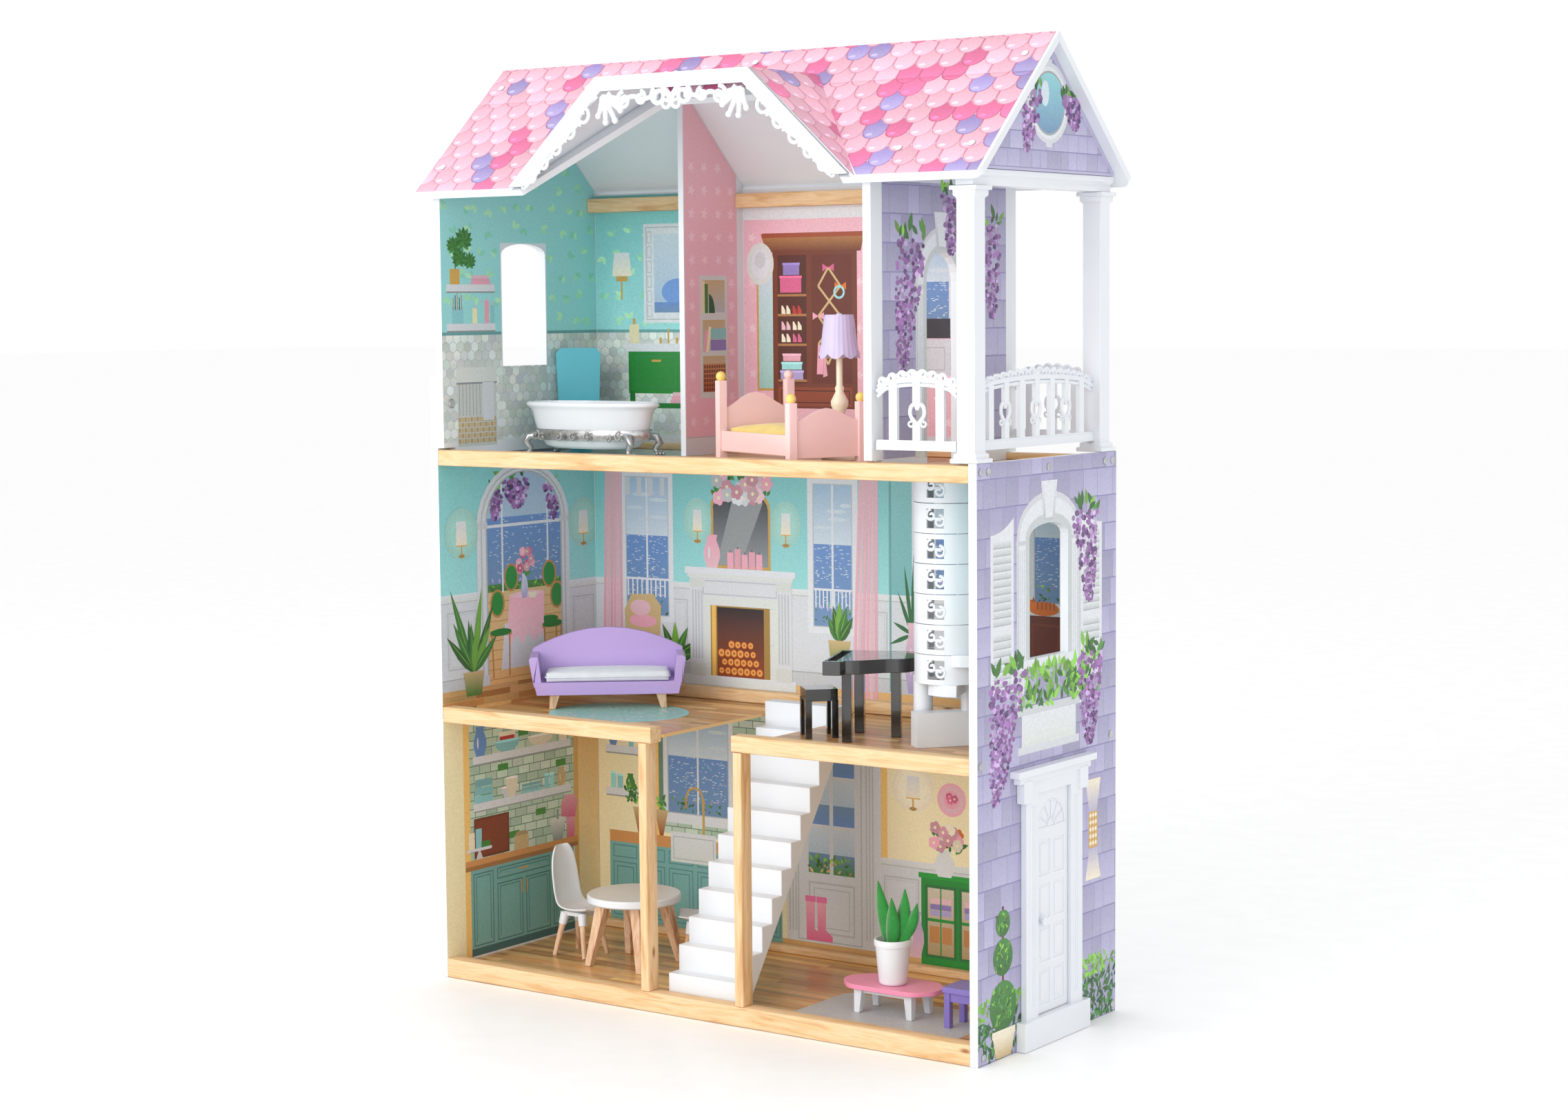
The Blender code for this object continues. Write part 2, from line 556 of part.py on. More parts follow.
def door():
    """The leaf, whose origin is on the hinge, and its knob."""
    height, panel_half, deep = DOOR_TOP - DOOR_BOTTOM, 13.0, 1.2
    outline = [(-DOOR_WIDTH, 0), (0, 0), (0, height), (-DOOR_WIDTH, height)]
    middle, fan = -DOOR_WIDTH / 2, 259 - DOOR_BOTTOM
    # Eight sunk panels in two columns, under a half-round fan light.
    cuts = [slab([*arc((middle, fan), 33, 0, 180, 12)], -deep, deep, "yz")]
    for row in range(4):
        low = 10 + row * 52
        for side in (-1, 1):
            y = middle + side * 17
            cuts.append(block((-deep, y - panel_half, low), (deep, y + panel_half, low + 42)))
    leaf = part("door_leaf", "white plastic", [slab(outline, -DOOR_THICK, 0, "yz")],
                at=(HINGE_X, HINGE_Y, DOOR_BOTTOM), cuts=cuts)
    knob = part("door_knob", "white plastic", [turned([(3, 0), (3, 3), (6, 4.5), (6, 7), (4, 9)], sides=12)])
    knob.parent = leaf
    knob.location = (GAP * MM, (138 - HINGE_Y) * MM, (148 - DOOR_BOTTOM) * MM)
    knob.rotation_euler.y = math.radians(90)


# ---------------------------------------------------------------- furniture


def four_legs(x, y, top, half, inset=0.0, half_head=None):
    """Legs at the four corners (+-x, +-y), leaning in by inset at their tops."""
    return [leg((sx * x, sy * y, 0), (sx * (x - inset), sy * (y - inset), top), half, half_head)
            for sx in (-1, 1) for sy in (-1, 1)]


def bed():
    """A small bed with a ball on each post. Its own X runs from head to foot."""
    length, width, half = 176.0, 98.0, 5.5
    place, turn = (545, 40, UPPER_FLOOR + GAP), -25
    shapes = [block((-length, 0, 12), (0, width, 20))]
    for x, post, shoulder, peak in ((-length, 101, 66, 86), (0, 77, 54, 70)):
        swell = [(width * (1 - s / 10), shoulder + (peak - shoulder) * math.sin(math.pi * s / 10) ** 2)
                 for s in range(1, 10)]
        board = [(0, 10), (width, 10), (width, shoulder), *swell, (0, shoulder)]
        shapes.append(slab(board, x - 2.5, x + 2.5, "yz"))
        for y in (0, width):
            shapes.append(leg((x, y, 0), (x, y, post), half))
            shapes.append(ball((x, y, post + 5), 6.5))
    for y in (-2, width - 2):
        shapes.append(block((-length, y, 13), (0, y + 4, 38)))
    part("bed_frame", "pink paint", shapes, at=place, turn=turn)
    part("bed_cover", "yellow fabric", [block((-length + 8, 4, 20 + GAP), (-8, width - 4, 44))],
         at=place, turn=turn)


def tub():
    """An oval tub with a rolled rim, hollow, in a silver stand on four claw feet."""
    place = (146.5, 152, UPPER_FLOOR + GAP)
    length, width, sides = 107.5, 42.0, 24
    squash = width / length

    def oval(profile):
        return turned(profile, sides=sides, squash=squash)

    part("tub", "white plastic",
         [oval([(64, 8), (80, 14), (92, 34), (98, 60), (length - 1, 63), (length, 67), (length - 2, 70)])],
         at=place, cuts=[oval([(58, 14), (76, 20), (88, 36), (94, 60), (95, 90)])])
    feet = [leg((x * 78, y * 27, 0), (x * 70, y * 22, 26), 4, 6) for x in (-1, 1) for y in (-1, 1)]
    part("tub_stand", "silver plastic", [oval([(84, 20), (91, 20), (94, 32), (93, 34)]), *feet],
         at=place, cuts=[oval([(65.2, 7), (81.2, 13.3), (93.2, 33.7), (94, 36)])])


def toilet():
    place, turn = (63.5, 228, UPPER_FLOOR + GAP), 45
    tank = [(-27, 46), (27, 46), (30, 132), (24, 139), (-24, 139), (-30, 132)]
    bowl = turned([(17, 0), (14, 8), (15, 28), (24, 42), (26, 46), (26, 53)], (0, -18), 16)
    part("toilet_base", "teal plastic",
         [bowl, slab(tank, 12, 27, "xz"), block((-12, -12, 0), (12, 20, 50))],
         at=place, turn=turn, cuts=[turned([(10, 30), (19, 45), (19, 70)], (0, -18), 16)])
    # The lid's own origin is on its hinge, at the foot of the tank.
    back = 7
    hinge = (place[0] - back * math.sin(math.radians(turn)), place[1] + back * math.cos(math.radians(turn)),
             place[2] + 53 + GAP)
    part("toilet_lid", "white plastic",
         [turned([(25, 0), (25.5, 2), (25, 4)], (0, -19 - back), 16), block((-10, -16, 0), (10, 0, 4))],
         at=hinge, turn=turn)


def lamp():
    place = (507, 200, UPPER_FLOOR + GAP)
    base = [(23, 0), (23, 5), (8, 9), (5, 16), (9, 30), (6, 44), (8, 58), (11, 72), (6, 86), (4, 118),
            (4, 172), (7, 172), (7, 176)]
    part("lamp_base", "cream plastic", [turned(base, sides=14)], at=place)
    # The shade is a cone, open below, that rests its closed top on the stem.
    part("lamp_shade", "lavender plastic", [turned([(26, 127), (18, 182)], sides=20)], at=place,
         cuts=[turned([(24.2, 120), (23.2, 127), (16, 176 + GAP)], sides=20)])


def sofa():
    """Its own X runs along the seat, and it faces its own -Y."""
    place, turn = (160.5, 159.3, MID_FLOOR + GAP), 38.7
    half, depth = 101.0, 75.0
    crest = [(half * math.cos(math.pi * s / 12), 74 + 28 * math.sin(math.pi * s / 12) ** 2)
             for s in range(1, 12)]
    shapes = [slab([(-half + 7, 19), (half - 7, 19), (half - 3, 36), (-half + 3, 36)], 0, depth, "xz"),
              slab([(-half, 34), (half, 34), (half, 74), *crest, (-half, 74)], depth - 9, depth, "xz")]
    for side in (-1, 1):
        arm = [(side * (half - 3), 30), (side * (half + 3), 66), (side * half, 70), (side * (half - 9), 70),
               (side * (half - 14), 30)]
        shapes.append(slab(arm, 2, depth - 2, "xz"))
        shapes += [leg((side * 74, y, 0), (side * 70, y, 22), 4, 7) for y in (9, depth - 9)]
    part("sofa_body", "lilac paint", shapes, at=place, turn=turn)
    seat = half - 17
    part("sofa_cushion", "white fabric", [block((-seat, 2, 36 + GAP), (seat, depth - 11, 48))],
         at=place, turn=turn)


def piano():
    """A grand piano. Its own X runs from the keyboard to the tail."""
    place, turn = (574, 60, MID_FLOOR + GAP), 23
    width, tail, low, high = 119.0, 104.0, 84.0, 101.0
    bend = [(26 + s * 8.5, 12 + 26 * (0.5 - 0.5 * math.cos(math.pi * s / 7))) for s in range(1, 8)]
    outline = [(0, 0), (22, 0), (26, 12), *bend, *arc((tail - 22, 60), 22, -70, 0, 3),
               *arc((tail - 18, width - 18), 18, 0, 90, 4), (0, width)]
    shapes = [slab(outline, low, high)]
    shapes += [leg((x, y, 0), (x, y, low + 4), 6) for x, y in ((26, 24), (26, width - 14), (tail - 26, 74))]
    keys = block((3, 8, high - 8), (15, width - 8, high + 8))
    part("piano_body", "black lacquer", shapes, at=place, turn=turn, cuts=[keys])
    part("piano_stool", "black lacquer", [block((-20, -20, 46), (20, 20, 61)), *four_legs(16.5, 16.5, 48, 4)],
         at=(533, 112, MID_FLOOR + GAP), turn=45)


def dining_table():
    part("dining_table", "tan paint",
         [turned([(60, 84), (62.5, 86), (62.5, 93), (61, 95)], sides=32), *four_legs(43, 43, 85, 4.5, 15, 8)],
         at=(209, 148, GROUND_FLOOR + GAP))


def chair(name, at, turn):
    """A shell chair on four splayed legs. It faces its own +X."""
    shell = [(28, 60), (32, 66), (12, 63), (-14, 67), (-24, 84), (-31, 142), (-34, 150), (-37, 142),
             (-30, 78), (-20, 60), (-6, 56)]
    shapes = [slab(shell, -27, 27, "xz"), block((-16, -18, 52), (18, 18, 62)),
              *four_legs(24, 23, 54, 3, 9, 5)]
    part(name, "white plastic", shapes, at=at, turn=turn)


def coffee_table():
    """A wavy pink top on a white frame, in one piece here."""
    waves = 24
    top = []
    for i in range(waves * 2):
        a = math.tau * i / (waves * 2)
        swell = 1 - 0.06 * (1 - math.cos(6 * a)) / 2
        top.append((68 * swell * math.copysign(abs(math.cos(a)) ** 0.7, math.cos(a)),
                    36 * swell * math.copysign(abs(math.sin(a)) ** 0.7, math.sin(a))))
    part("coffee_table", "rose paint", [slab(top, 31, 37), block((-36, -20, 24), (36, 20, 32)),
                                        *four_legs(38, 21, 32, 4, 2, 6)],
         at=(638, 116, GROUND_FLOOR + GAP))


def plant():
    place = (640, 112, GROUND_FLOOR + 37 + 2 * GAP)
    part("plant_pot", "white plastic", [turned([(16, 0), (18, 3), (22, 53), (23, 56)], sides=20)],
         at=place, cuts=[turned([(14, 34), (19.5, 70)], sides=20)])
    shapes = [block((-9, -2, 34 + GAP), (9, 2, 62))]
    for number, (foot, tip, tip_z, swell) in enumerate(((-5, -16, 126, -16), (3, 20, 118, 16), (7, 33, 104, 26))):
        leaf = [(foot - 5, 50), (foot + 5, 50), (swell + 9, 84), (tip, tip_z), (swell - 9, 84)]
        shift = 0.8 * (number - 1)
        shapes.append(slab(leaf, shift - 1, shift + 1, "xz"))
    part("plant_leaves", "green felt", shapes, at=place)


def side_stool():
    part("side_stool", "purple paint",
         [block((-30, -22, 43), (30, 22, 50)), block((-26, -19, 32), (26, 19, 44)), *four_legs(24, 17, 44, 4)],
         at=(757, 108, GROUND_FLOOR + GAP), turn=0)


def main():
    for existing in list(bpy.data.objects):
        bpy.data.objects.remove(existing)
    walls()
    floors()
    rails()
    back_panels()
    roof()
    dormer()
    dormer_trim()
    gable_panel()
    balcony()
    straight_stairs()
    spiral_stairs()
    door_frame()
    door()
    bed()
    tub()
    toilet()
    lamp()
    sofa()
    piano()
    dining_table()
    chair("chair_1", (113, 153, GROUND_FLOOR + GAP), 0)
    chair("chair_2", (283, 200, GROUND_FLOOR + GAP), 215)
    coffee_table()
    plant()
    side_stool()


main()
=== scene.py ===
"""The look of the wooden dollhouse: printed panels, pine rails, white mouldings and painted furniture.

Places are house millimetres: X from the left wall's outer face, Y from the walls' front edges to the
back, and Z up. house() turns them into the frame's metres, from the foot of the left wall. A printed
picture is a stack of flat shapes, each with its own ink, laid on a panel in thin layers. The kitchen and
the hall are on the ground floor, the parlour is on the middle floor, and the bathroom, the bedroom and the
balcony are on the upper floor.
"""

import math
import random

import bmesh
import bpy
import numpy as np
from mathutils import Matrix, Vector, geometry


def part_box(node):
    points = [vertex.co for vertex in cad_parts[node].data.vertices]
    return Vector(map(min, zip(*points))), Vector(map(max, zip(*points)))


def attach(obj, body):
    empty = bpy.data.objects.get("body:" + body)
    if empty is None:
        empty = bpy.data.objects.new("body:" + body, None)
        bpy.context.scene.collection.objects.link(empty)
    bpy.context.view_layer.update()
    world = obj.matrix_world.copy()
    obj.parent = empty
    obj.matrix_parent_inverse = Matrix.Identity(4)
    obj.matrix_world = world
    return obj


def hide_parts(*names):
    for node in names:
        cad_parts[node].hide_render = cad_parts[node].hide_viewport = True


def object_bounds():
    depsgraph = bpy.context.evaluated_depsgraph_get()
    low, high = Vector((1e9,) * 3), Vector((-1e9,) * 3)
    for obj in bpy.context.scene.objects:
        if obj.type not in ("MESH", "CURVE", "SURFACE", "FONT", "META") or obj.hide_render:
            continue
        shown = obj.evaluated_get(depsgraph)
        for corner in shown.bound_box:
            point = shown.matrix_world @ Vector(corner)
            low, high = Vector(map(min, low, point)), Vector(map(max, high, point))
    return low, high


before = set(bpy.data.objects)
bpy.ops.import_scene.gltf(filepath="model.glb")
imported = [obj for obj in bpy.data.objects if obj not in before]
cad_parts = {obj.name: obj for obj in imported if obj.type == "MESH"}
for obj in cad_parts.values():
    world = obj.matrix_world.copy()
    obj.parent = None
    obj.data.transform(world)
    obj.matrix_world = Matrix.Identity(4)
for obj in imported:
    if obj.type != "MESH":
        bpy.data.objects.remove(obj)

start_bounds = [list(corner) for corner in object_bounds()]
MM = 0.001
CORNER = Vector(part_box("left_lower_wall")[0])


def house(x, y, z):
    """A place in house millimetres, in the frame's metres."""
    return CORNER + Vector((x, y, z)) * MM


def span(node):
    """A CAD piece's lowest and highest corners, in house millimetres."""
    return [(Vector(corner) - CORNER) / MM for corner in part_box(node)]


GROUND, MID, UPPER = (span(name)[1].z for name in ("ground_floor", "mid_floor", "upper_floor"))
LEFT, LEFT_UPPER = span("left_lower_wall")[1].x, span("left_upper_wall")[1].x
RIGHT, DEPTH = span("right_wall")[1].x, span("right_wall")[1].y
BACK, BACK_UPPER = span("back_panel_lower")[0].y, span("back_panel_bath")[0].y
BALCONY = span("balcony_wall")[1].x
PARTITION = span("partition_wall")[1].x
WALL_FOOT = span("left_upper_wall")[0].z
WINDOW_NEAR, WINDOW_FAR = 117.0, 211.0  # the side walls' windows, along Y
TILE_RAIL = 845.0  # where the bathroom's tiles end and its wallpaper starts
BOARD = 12  # a wall board's thickness with its joint

INKS = {  # sRGB, 0 to 255
    "white": (230, 234, 239), "pearl": (226, 231, 226), "shade": (196, 202, 204), "grey": (150, 156, 160),
    "charcoal": (52, 52, 58), "teal": (164, 232, 231), "deep teal": (138, 211, 211), "mint": (168, 218, 208),
    "yellow": (255, 244, 200), "amber": (240, 190, 112), "cream": (250, 240, 214), "blush": (240, 196, 206),
    "pink": (236, 174, 190), "rose": (222, 104, 146), "hot pink": (244, 124, 176),
    "lavender": (182, 170, 220), "lilac": (150, 130, 196), "plum": (104, 66, 128),
    "wisteria": (160, 112, 178), "wall pink": (246, 194, 206), "petal": (255, 216, 226),
    "wisteria light": (204, 172, 222), "shingle": (186, 183, 212), "shingle dark": (146, 140, 184),
    "shingle top": (174, 169, 204), "sky": (170, 200, 226), "sea": (116, 150, 188), "foam": (214, 228, 238),
    "leaf": (74, 140, 62), "bright leaf": (128, 190, 70), "dark leaf": (34, 92, 50), "moss": (58, 112, 48),
    "vivid green": (38, 150, 58), "tile": (196, 218, 196), "grout": (110, 142, 120), "wood": (200, 142, 84),
    "dark wood": (120, 58, 34), "walnut": (86, 38, 24), "straw": (214, 186, 134), "brick": (166, 84, 44),
    "gold": (212, 168, 84), "ember": (232, 120, 30), "night": (40, 30, 34), "cabinet": (128, 184, 180),
    "cabinet dark": (90, 144, 146), "blue": (110, 150, 210), "aqua": (150, 214, 220), "red": (196, 60, 54),
    "cloth pink": (246, 176, 194), "plank": (234, 188, 122), "paper": (253, 253, 253),
    "roof pink": (250, 196, 218), "rug": (190, 190, 190), "sofa": (190, 164, 222), "bed": (252, 216, 213),
    "table top": (244, 148, 182), "stool": (132, 116, 196), "lamp shade": (216, 206, 240),
    "toilet": (88, 186, 202), "bed ball": (246, 216, 120),
}


def ink(name, lightness=1.0):
    """An ink as linear colour."""
    values = INKS[name] if isinstance(name, str) else name
    scaled = [min(1.0, value / 255 * lightness) for value in values]
    return tuple(value / 12.92 if value < 0.04045 else ((value + 0.055) / 1.055) ** 2.4 for value in scaled)


# ---------------------------------------------------------------- outlines, in millimetres across and up


def oval(u, v, wide, high=None, start=0, end=360, count=18):
    """An ellipse's outline, or an arc of it that keeps its end point."""
    high = wide if high is None else high
    steps = count if end - start >= 360 else count + 1
    turns = [math.radians(start + (end - start) * i / count) for i in range(steps)]
    return [(u + wide * math.cos(a), v + high * math.sin(a)) for a in turns]


def rect(u0, v0, u1, v1):
    return [(u0, v0), (u1, v0), (u1, v1), (u0, v1)]


def archway(u0, u1, foot, spring, rise, count=14):
    """A round-topped opening's outline, from its right foot over to its left foot."""
    return [(u1, foot), *oval((u0 + u1) / 2, spring, (u1 - u0) / 2, rise, 0, 180, count), (u0, foot)]


def leaf(foot, tip, wide, count=4):
    """A pointed leaf from its foot to its tip."""
    foot, tip = Vector(foot), Vector(tip)
    side = (tip - foot).orthogonal().normalized() * wide / 2
    steps = [i / count for i in range(1, count)]
    swell = [side * math.sin(math.pi * step ** 0.8) for step in steps]
    right = [foot.lerp(tip, step) + out for step, out in zip(steps, swell)]
    left = [foot.lerp(tip, step) - out for step, out in zip(steps, swell)]
    return [tuple(foot), *map(tuple, right), tuple(tip), *map(tuple, reversed(left))]


def clip(points, axis, limit, keep):
    """The part of a convex outline where the axis's value times keep is over limit times keep."""
    kept = []
    for a, b in zip(points, points[1:] + points[:1]):
        inside_a, inside_b = ((p[axis] - limit) * keep >= 0 for p in (a, b))
        if inside_a:
            kept.append(a)
        if inside_a != inside_b:
            share = (limit - a[axis]) / (b[axis] - a[axis])
            kept.append(tuple(p + (q - p) * share for p, q in zip(a, b)))
    return kept


def clipped(points, window):
    """A convex outline cut to a window: lowest u, lowest v, highest u, highest v."""
    for axis, limit, keep in ((0, window[0], 1), (1, window[1], 1), (0, window[2], -1), (1, window[3], -1)):
        points = clip(points, axis, limit, keep) if len(points) > 2 else []
    return points if len(points) > 2 else []


# ---------------------------------------------------------------- printed pictures

FIRST_LIFT, LAYER = 0.05, 0.012  # the lowest shape's height over its panel, and the step from one to the next


class Print:
    """A printed picture on one flat surface. place(u, v, lift) gives a point in metres, and normal faces the
    viewer. A shape lies over the ones it overlaps that were drawn before it."""

    def __init__(self, name, place, normal, lift=FIRST_LIFT, window=None):
        self.name, self.place, self.normal, self.lift = name, place, Vector(normal), lift
        self.window = window  # lowest and highest u and v that the panel shows
        self.shapes = []
        self.dice = random.Random(name)

    def fill(self, points, colour, top=None, light=1.0):
        """One flat shape. With a second ink it fades from the first at its foot to the second at its top."""
        low = ink(colour, light)
        high = ink(top, light) if top else low
        if self.window and points:
            points = clipped(points, self.window)
        if points:
            self.shapes.append((points, low, high))

    def box(self, u0, v0, u1, v1, colour, top=None, light=1.0):
        self.fill(rect(u0, v0, u1, v1), colour, top, light)

    def band(self, outer, inner, colour, light=1.0):
        """The strip between two outlines with the same number of points."""
        for i in range(len(outer) - 1):
            self.fill([outer[i], outer[i + 1], inner[i + 1], inner[i]], colour, light=light)

    def frame(self, u0, v0, u1, v1, wide, colour, light=1.0):
        outer, inner = rect(u0, v0, u1, v1), rect(u0 + wide, v0 + wide, u1 - wide, v1 - wide)
        self.band(outer + outer[:1], inner + inner[:1], colour, light)

    def planks(self, window, pitch, colours, length=160):
        """Boards that run across, with staggered ends."""
        u0, v0, u1, v1 = window
        for row in range(math.ceil((v1 - v0) / pitch)):
            low = v0 + row * pitch
            left = u0 - self.dice.uniform(0, length)
            while left < u1:
                board = rect(left + 0.4, low + 0.4, left + length - 0.4, low + pitch - 0.4)
                self.fill(clipped(board, window), self.dice.choice(colours),
                          light=self.dice.uniform(0.86, 1.12))
                left += length

    def bricks(self, window, wide, high, colours, joint=1.0, spread=0.06, fade=None):
        """Tiles in half-bond rows. fade is the ink at their upper edges."""
        u0, v0, u1, v1 = window
        for row in range(math.ceil((v1 - v0) / high)):
            low = v0 + row * high
            left = u0 - wide * (0.5 if row % 2 else 1) - self.dice.uniform(0, wide * spread)
            while left < u1:
                reach = wide * self.dice.uniform(1 - spread, 1 + spread)
                tile = clipped(rect(left, low, left + reach - joint, low + high - joint), window)
                self.fill(tile, self.dice.choice(colours), fade, self.dice.uniform(0.95, 1.05))
                left += reach

    def scales(self, window, wide, high, colours, joint=0.9):
        """Six-sided tiles."""
        u0, v0, u1, v1 = window
        for row in range(math.ceil((v1 - v0) / (high * 0.75)) + 1):
            v = v0 + row * high * 0.75
            for column in range(math.ceil((u1 - u0) / wide) + 2):
                u = u0 + (column - (0.5 if row % 2 else 0)) * wide
                tile = oval(u, v, (wide - joint) / math.sqrt(3), (high - joint) / 2, 30, 390, 6)[:6]
                light = self.dice.uniform(0.9, 1.08)
                self.fill(clipped(tile, window), self.dice.choice(colours), self.dice.choice(colours), light)

    def bush(self, u0, v0, u1, v1, count, size, colours, tips=None):
        """A scatter of leaves that point up and outwards."""
        for _ in range(count):
            u, v = self.dice.uniform(u0, u1), self.dice.uniform(v0, v1)
            turn = math.radians(90 + self.dice.uniform(-75, 75))
            long = size * self.dice.uniform(0.7, 1.3)
            tip = (u + long * math.cos(turn), v + long * math.sin(turn))
            near_top = tips and v > v0 + 0.7 * (v1 - v0)
            self.fill(leaf((u, v), tip, long * 0.42), self.dice.choice(tips if near_top else colours),
                      light=self.dice.uniform(0.75, 1.2))

    def flowers(self, u0, v0, u1, v1, count, size, colours, heart="cream"):
        """Round blooms with petals."""
        for _ in range(count):
            u, v = self.dice.uniform(u0, u1), self.dice.uniform(v0, v1)
            colour, light = self.dice.choice(colours), self.dice.uniform(0.85, 1.1)
            for petal in range(5):
                turn = math.tau * petal / 5
                self.fill(oval(u + size * 0.5 * math.cos(turn), v + size * 0.5 * math.sin(turn), size * 0.48,
                               count=7), colour, light=light)
            self.fill(oval(u, v, size * 0.25, count=6), heart)

    def wisteria(self, u, v, foot_u, foot_v, wide, count=70):
        """A cluster that hangs from (u, v) to a point at (foot_u, foot_v)."""
        self.bush(u - wide * 0.5, v - 4, u + wide * 0.5, v + 8, 10, wide * 0.32,
                  ["leaf", "bright leaf", "moss"])
        for _ in range(count * 2):
            down = self.dice.random() ** 0.8
            reach = wide * 0.5 * (1 - down) ** 0.5 + 2
            at = u + (foot_u - u) * down + self.dice.uniform(-reach, reach)
            size = self.dice.uniform(3.0, 5.6) * (1 - 0.35 * down)
            colour = self.dice.choice(["plum", "wisteria", "wisteria", "wisteria", "wisteria light"])
            self.fill(oval(at, v + (foot_v - v) * down, size, size * 0.8, count=7), colour,
                      light=self.dice.uniform(0.75, 1.15))

    def sconce(self, u, low, high, wide, glow):
        """A wall lamp: its glow on the wall, a gold bracket and a white shade."""
        for reach in (1.5, 1.25, 1.0):
            self.fill(oval(u, (low + high) / 2, wide * reach, (high - low) * 0.7 * reach), glow,
                      light=1.12 - 0.08 * reach)
        self.box(u - 1.2, low - 16, u + 1.2, low + 2, "gold")
        self.fill(oval(u, low - 13, 6, 2.5, count=10), "gold", light=0.85)
        taper = wide * 0.42
        self.fill([(u - wide / 2, low), (u + wide / 2, low), (u + taper, high), (u - taper, high)],
                  "cream", "white")
        self.box(u - wide / 2, low, u + wide / 2, low + 1.5, "gold", light=1.1)

    def pot(self, u, foot, head, wide, colour, trim=None):
        """A pot, vase or jar that swells in the middle."""
        half, tall = wide / 2, head - foot
        side = [(half * 0.62, foot), (half, foot + tall * 0.35), (half * 0.96, foot + tall * 0.55),
                (half * 0.55, foot + tall * 0.85), (half * 0.68, head)]
        self.fill([(u + x, z) for x, z in side] + [(u - x, z) for x, z in reversed(side)], colour,
                  trim or colour)
        self.fill(oval(u - half * 0.35, foot + tall * 0.45, half * 0.12, tall * 0.2, count=8), "white")

    def sea_view(self, u0, v0, u1, v1):
        """A sky over a sparkling sea, with bushes along its foot."""
        shore, horizon = v0 + (v1 - v0) * 0.14, v0 + (v1 - v0) * 0.58
        self.box(u0, horizon, u1, v1, "foam", "sky")
        self.box(u0, v0, u1, horizon, "sea", "blue")
        for _ in range(int((u1 - u0) * (horizon - shore) / 45)):
            u, v = self.dice.uniform(u0, u1 - 5), self.dice.uniform(shore, horizon - 1)
            self.box(u, v, u + self.dice.uniform(1.5, 5), v + 0.9, "foam")
        for _ in range(4):
            u, v = self.dice.uniform(u0 + 8, u1 - 8), self.dice.uniform(horizon + 6, v1 - 4)
            reach = min(u - u0, u1 - u, 16)
            self.fill(oval(u, v, reach, 2.6), "foam")
        self.bush(u0 + 3, v0, u1 - 3, shore, int((u1 - u0) / 2.2), 6, ["moss", "leaf"],
                  ["bright leaf", "lavender"])

    def depths(self):
        """How many shapes lie under each one."""
        boxes = np.array([(min(u for u, _ in points), min(v for _, v in points), max(u for u, _ in points),
                           max(v for _, v in points)) for points, _, _ in self.shapes])
        depth = np.zeros(len(boxes))
        for number, (u0, v0, u1, v1) in enumerate(boxes[1:], 1):
            under = boxes[:number]
            over = (under[:, 0] < u1) & (under[:, 2] > u0) & (under[:, 1] < v1) & (under[:, 3] > v0)
            depth[number] = 1 + depth[:number][over].max() if over.any() else 0
        return depth

    def build(self, finish=None):
        """Makes the picture's mesh. Each pair of inks gets its own cell of the baking map."""
        cells = sorted({shape[1:3] for shape in self.shapes})
        grid = math.ceil(math.sqrt(len(cells)))
        where = {pair: (number % grid, number // grid) for number, pair in enumerate(cells)}
        points, faces, colours, charts = [], [], [], []
        for (outline, low, high), depth in zip(self.shapes, self.depths()):
            us, vs = [p[0] for p in outline], [p[1] for p in outline]
            wide, tall = max(max(us) - min(us), 0.01), max(max(vs) - min(vs), 0.01)
            ring = []
            for u, v in outline:
                across, share = (u - min(us)) / wide, (v - min(vs)) / tall
                column, row = where[(low, high)]
                chart = ((column + 0.2 + 0.6 * across) / grid, (row + 0.2 + 0.6 * share) / grid)
                colour = [a + (b - a) * share for a, b in zip(low, high)]
                ring.append((self.place(u, v, self.lift + depth * LAYER), (*colour, 1.0), chart))
            if geometry.normal([entry[0] for entry in ring]).dot(self.normal) < 0:
                ring.reverse()
            faces.append(range(len(points), len(points) + len(ring)))
            for point, colour, chart in ring:
                points.append(point)
                colours.append(colour)
                charts.append(chart)
        mesh = bpy.data.meshes.new(self.name)
        mesh.from_pydata(points, [], faces)
        inks = mesh.color_attributes.new("ink", "FLOAT_COLOR", "POINT")
        baking = mesh.uv_layers.new(name="OFBake")
        for number, colour in enumerate(colours):
            inks.data[number].color = colour
        for loop in mesh.loops:
            baking.data[loop.index].uv = charts[loop.vertex_index]
        made = bpy.data.objects.new(self.name, mesh)
        bpy.context.scene.collection.objects.link(made)
        mesh.materials.append(finish or printed())
        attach(made, "house")


def on_left(x):
    """Places a picture on a wall whose printed face looks towards +X."""
    return lambda y, z, lift: house(x + lift, y, z)


def on_right(x):
    """Places a picture on a wall whose printed face looks towards -X."""
    return lambda y, z, lift: house(x - lift, y, z)


def on_back(y):
    return lambda x, z, lift: house(x, y - lift, z)


def on_floor(z):
    return lambda x, y, lift: house(x, y, z + lift)


# ---------------------------------------------------------------- materials


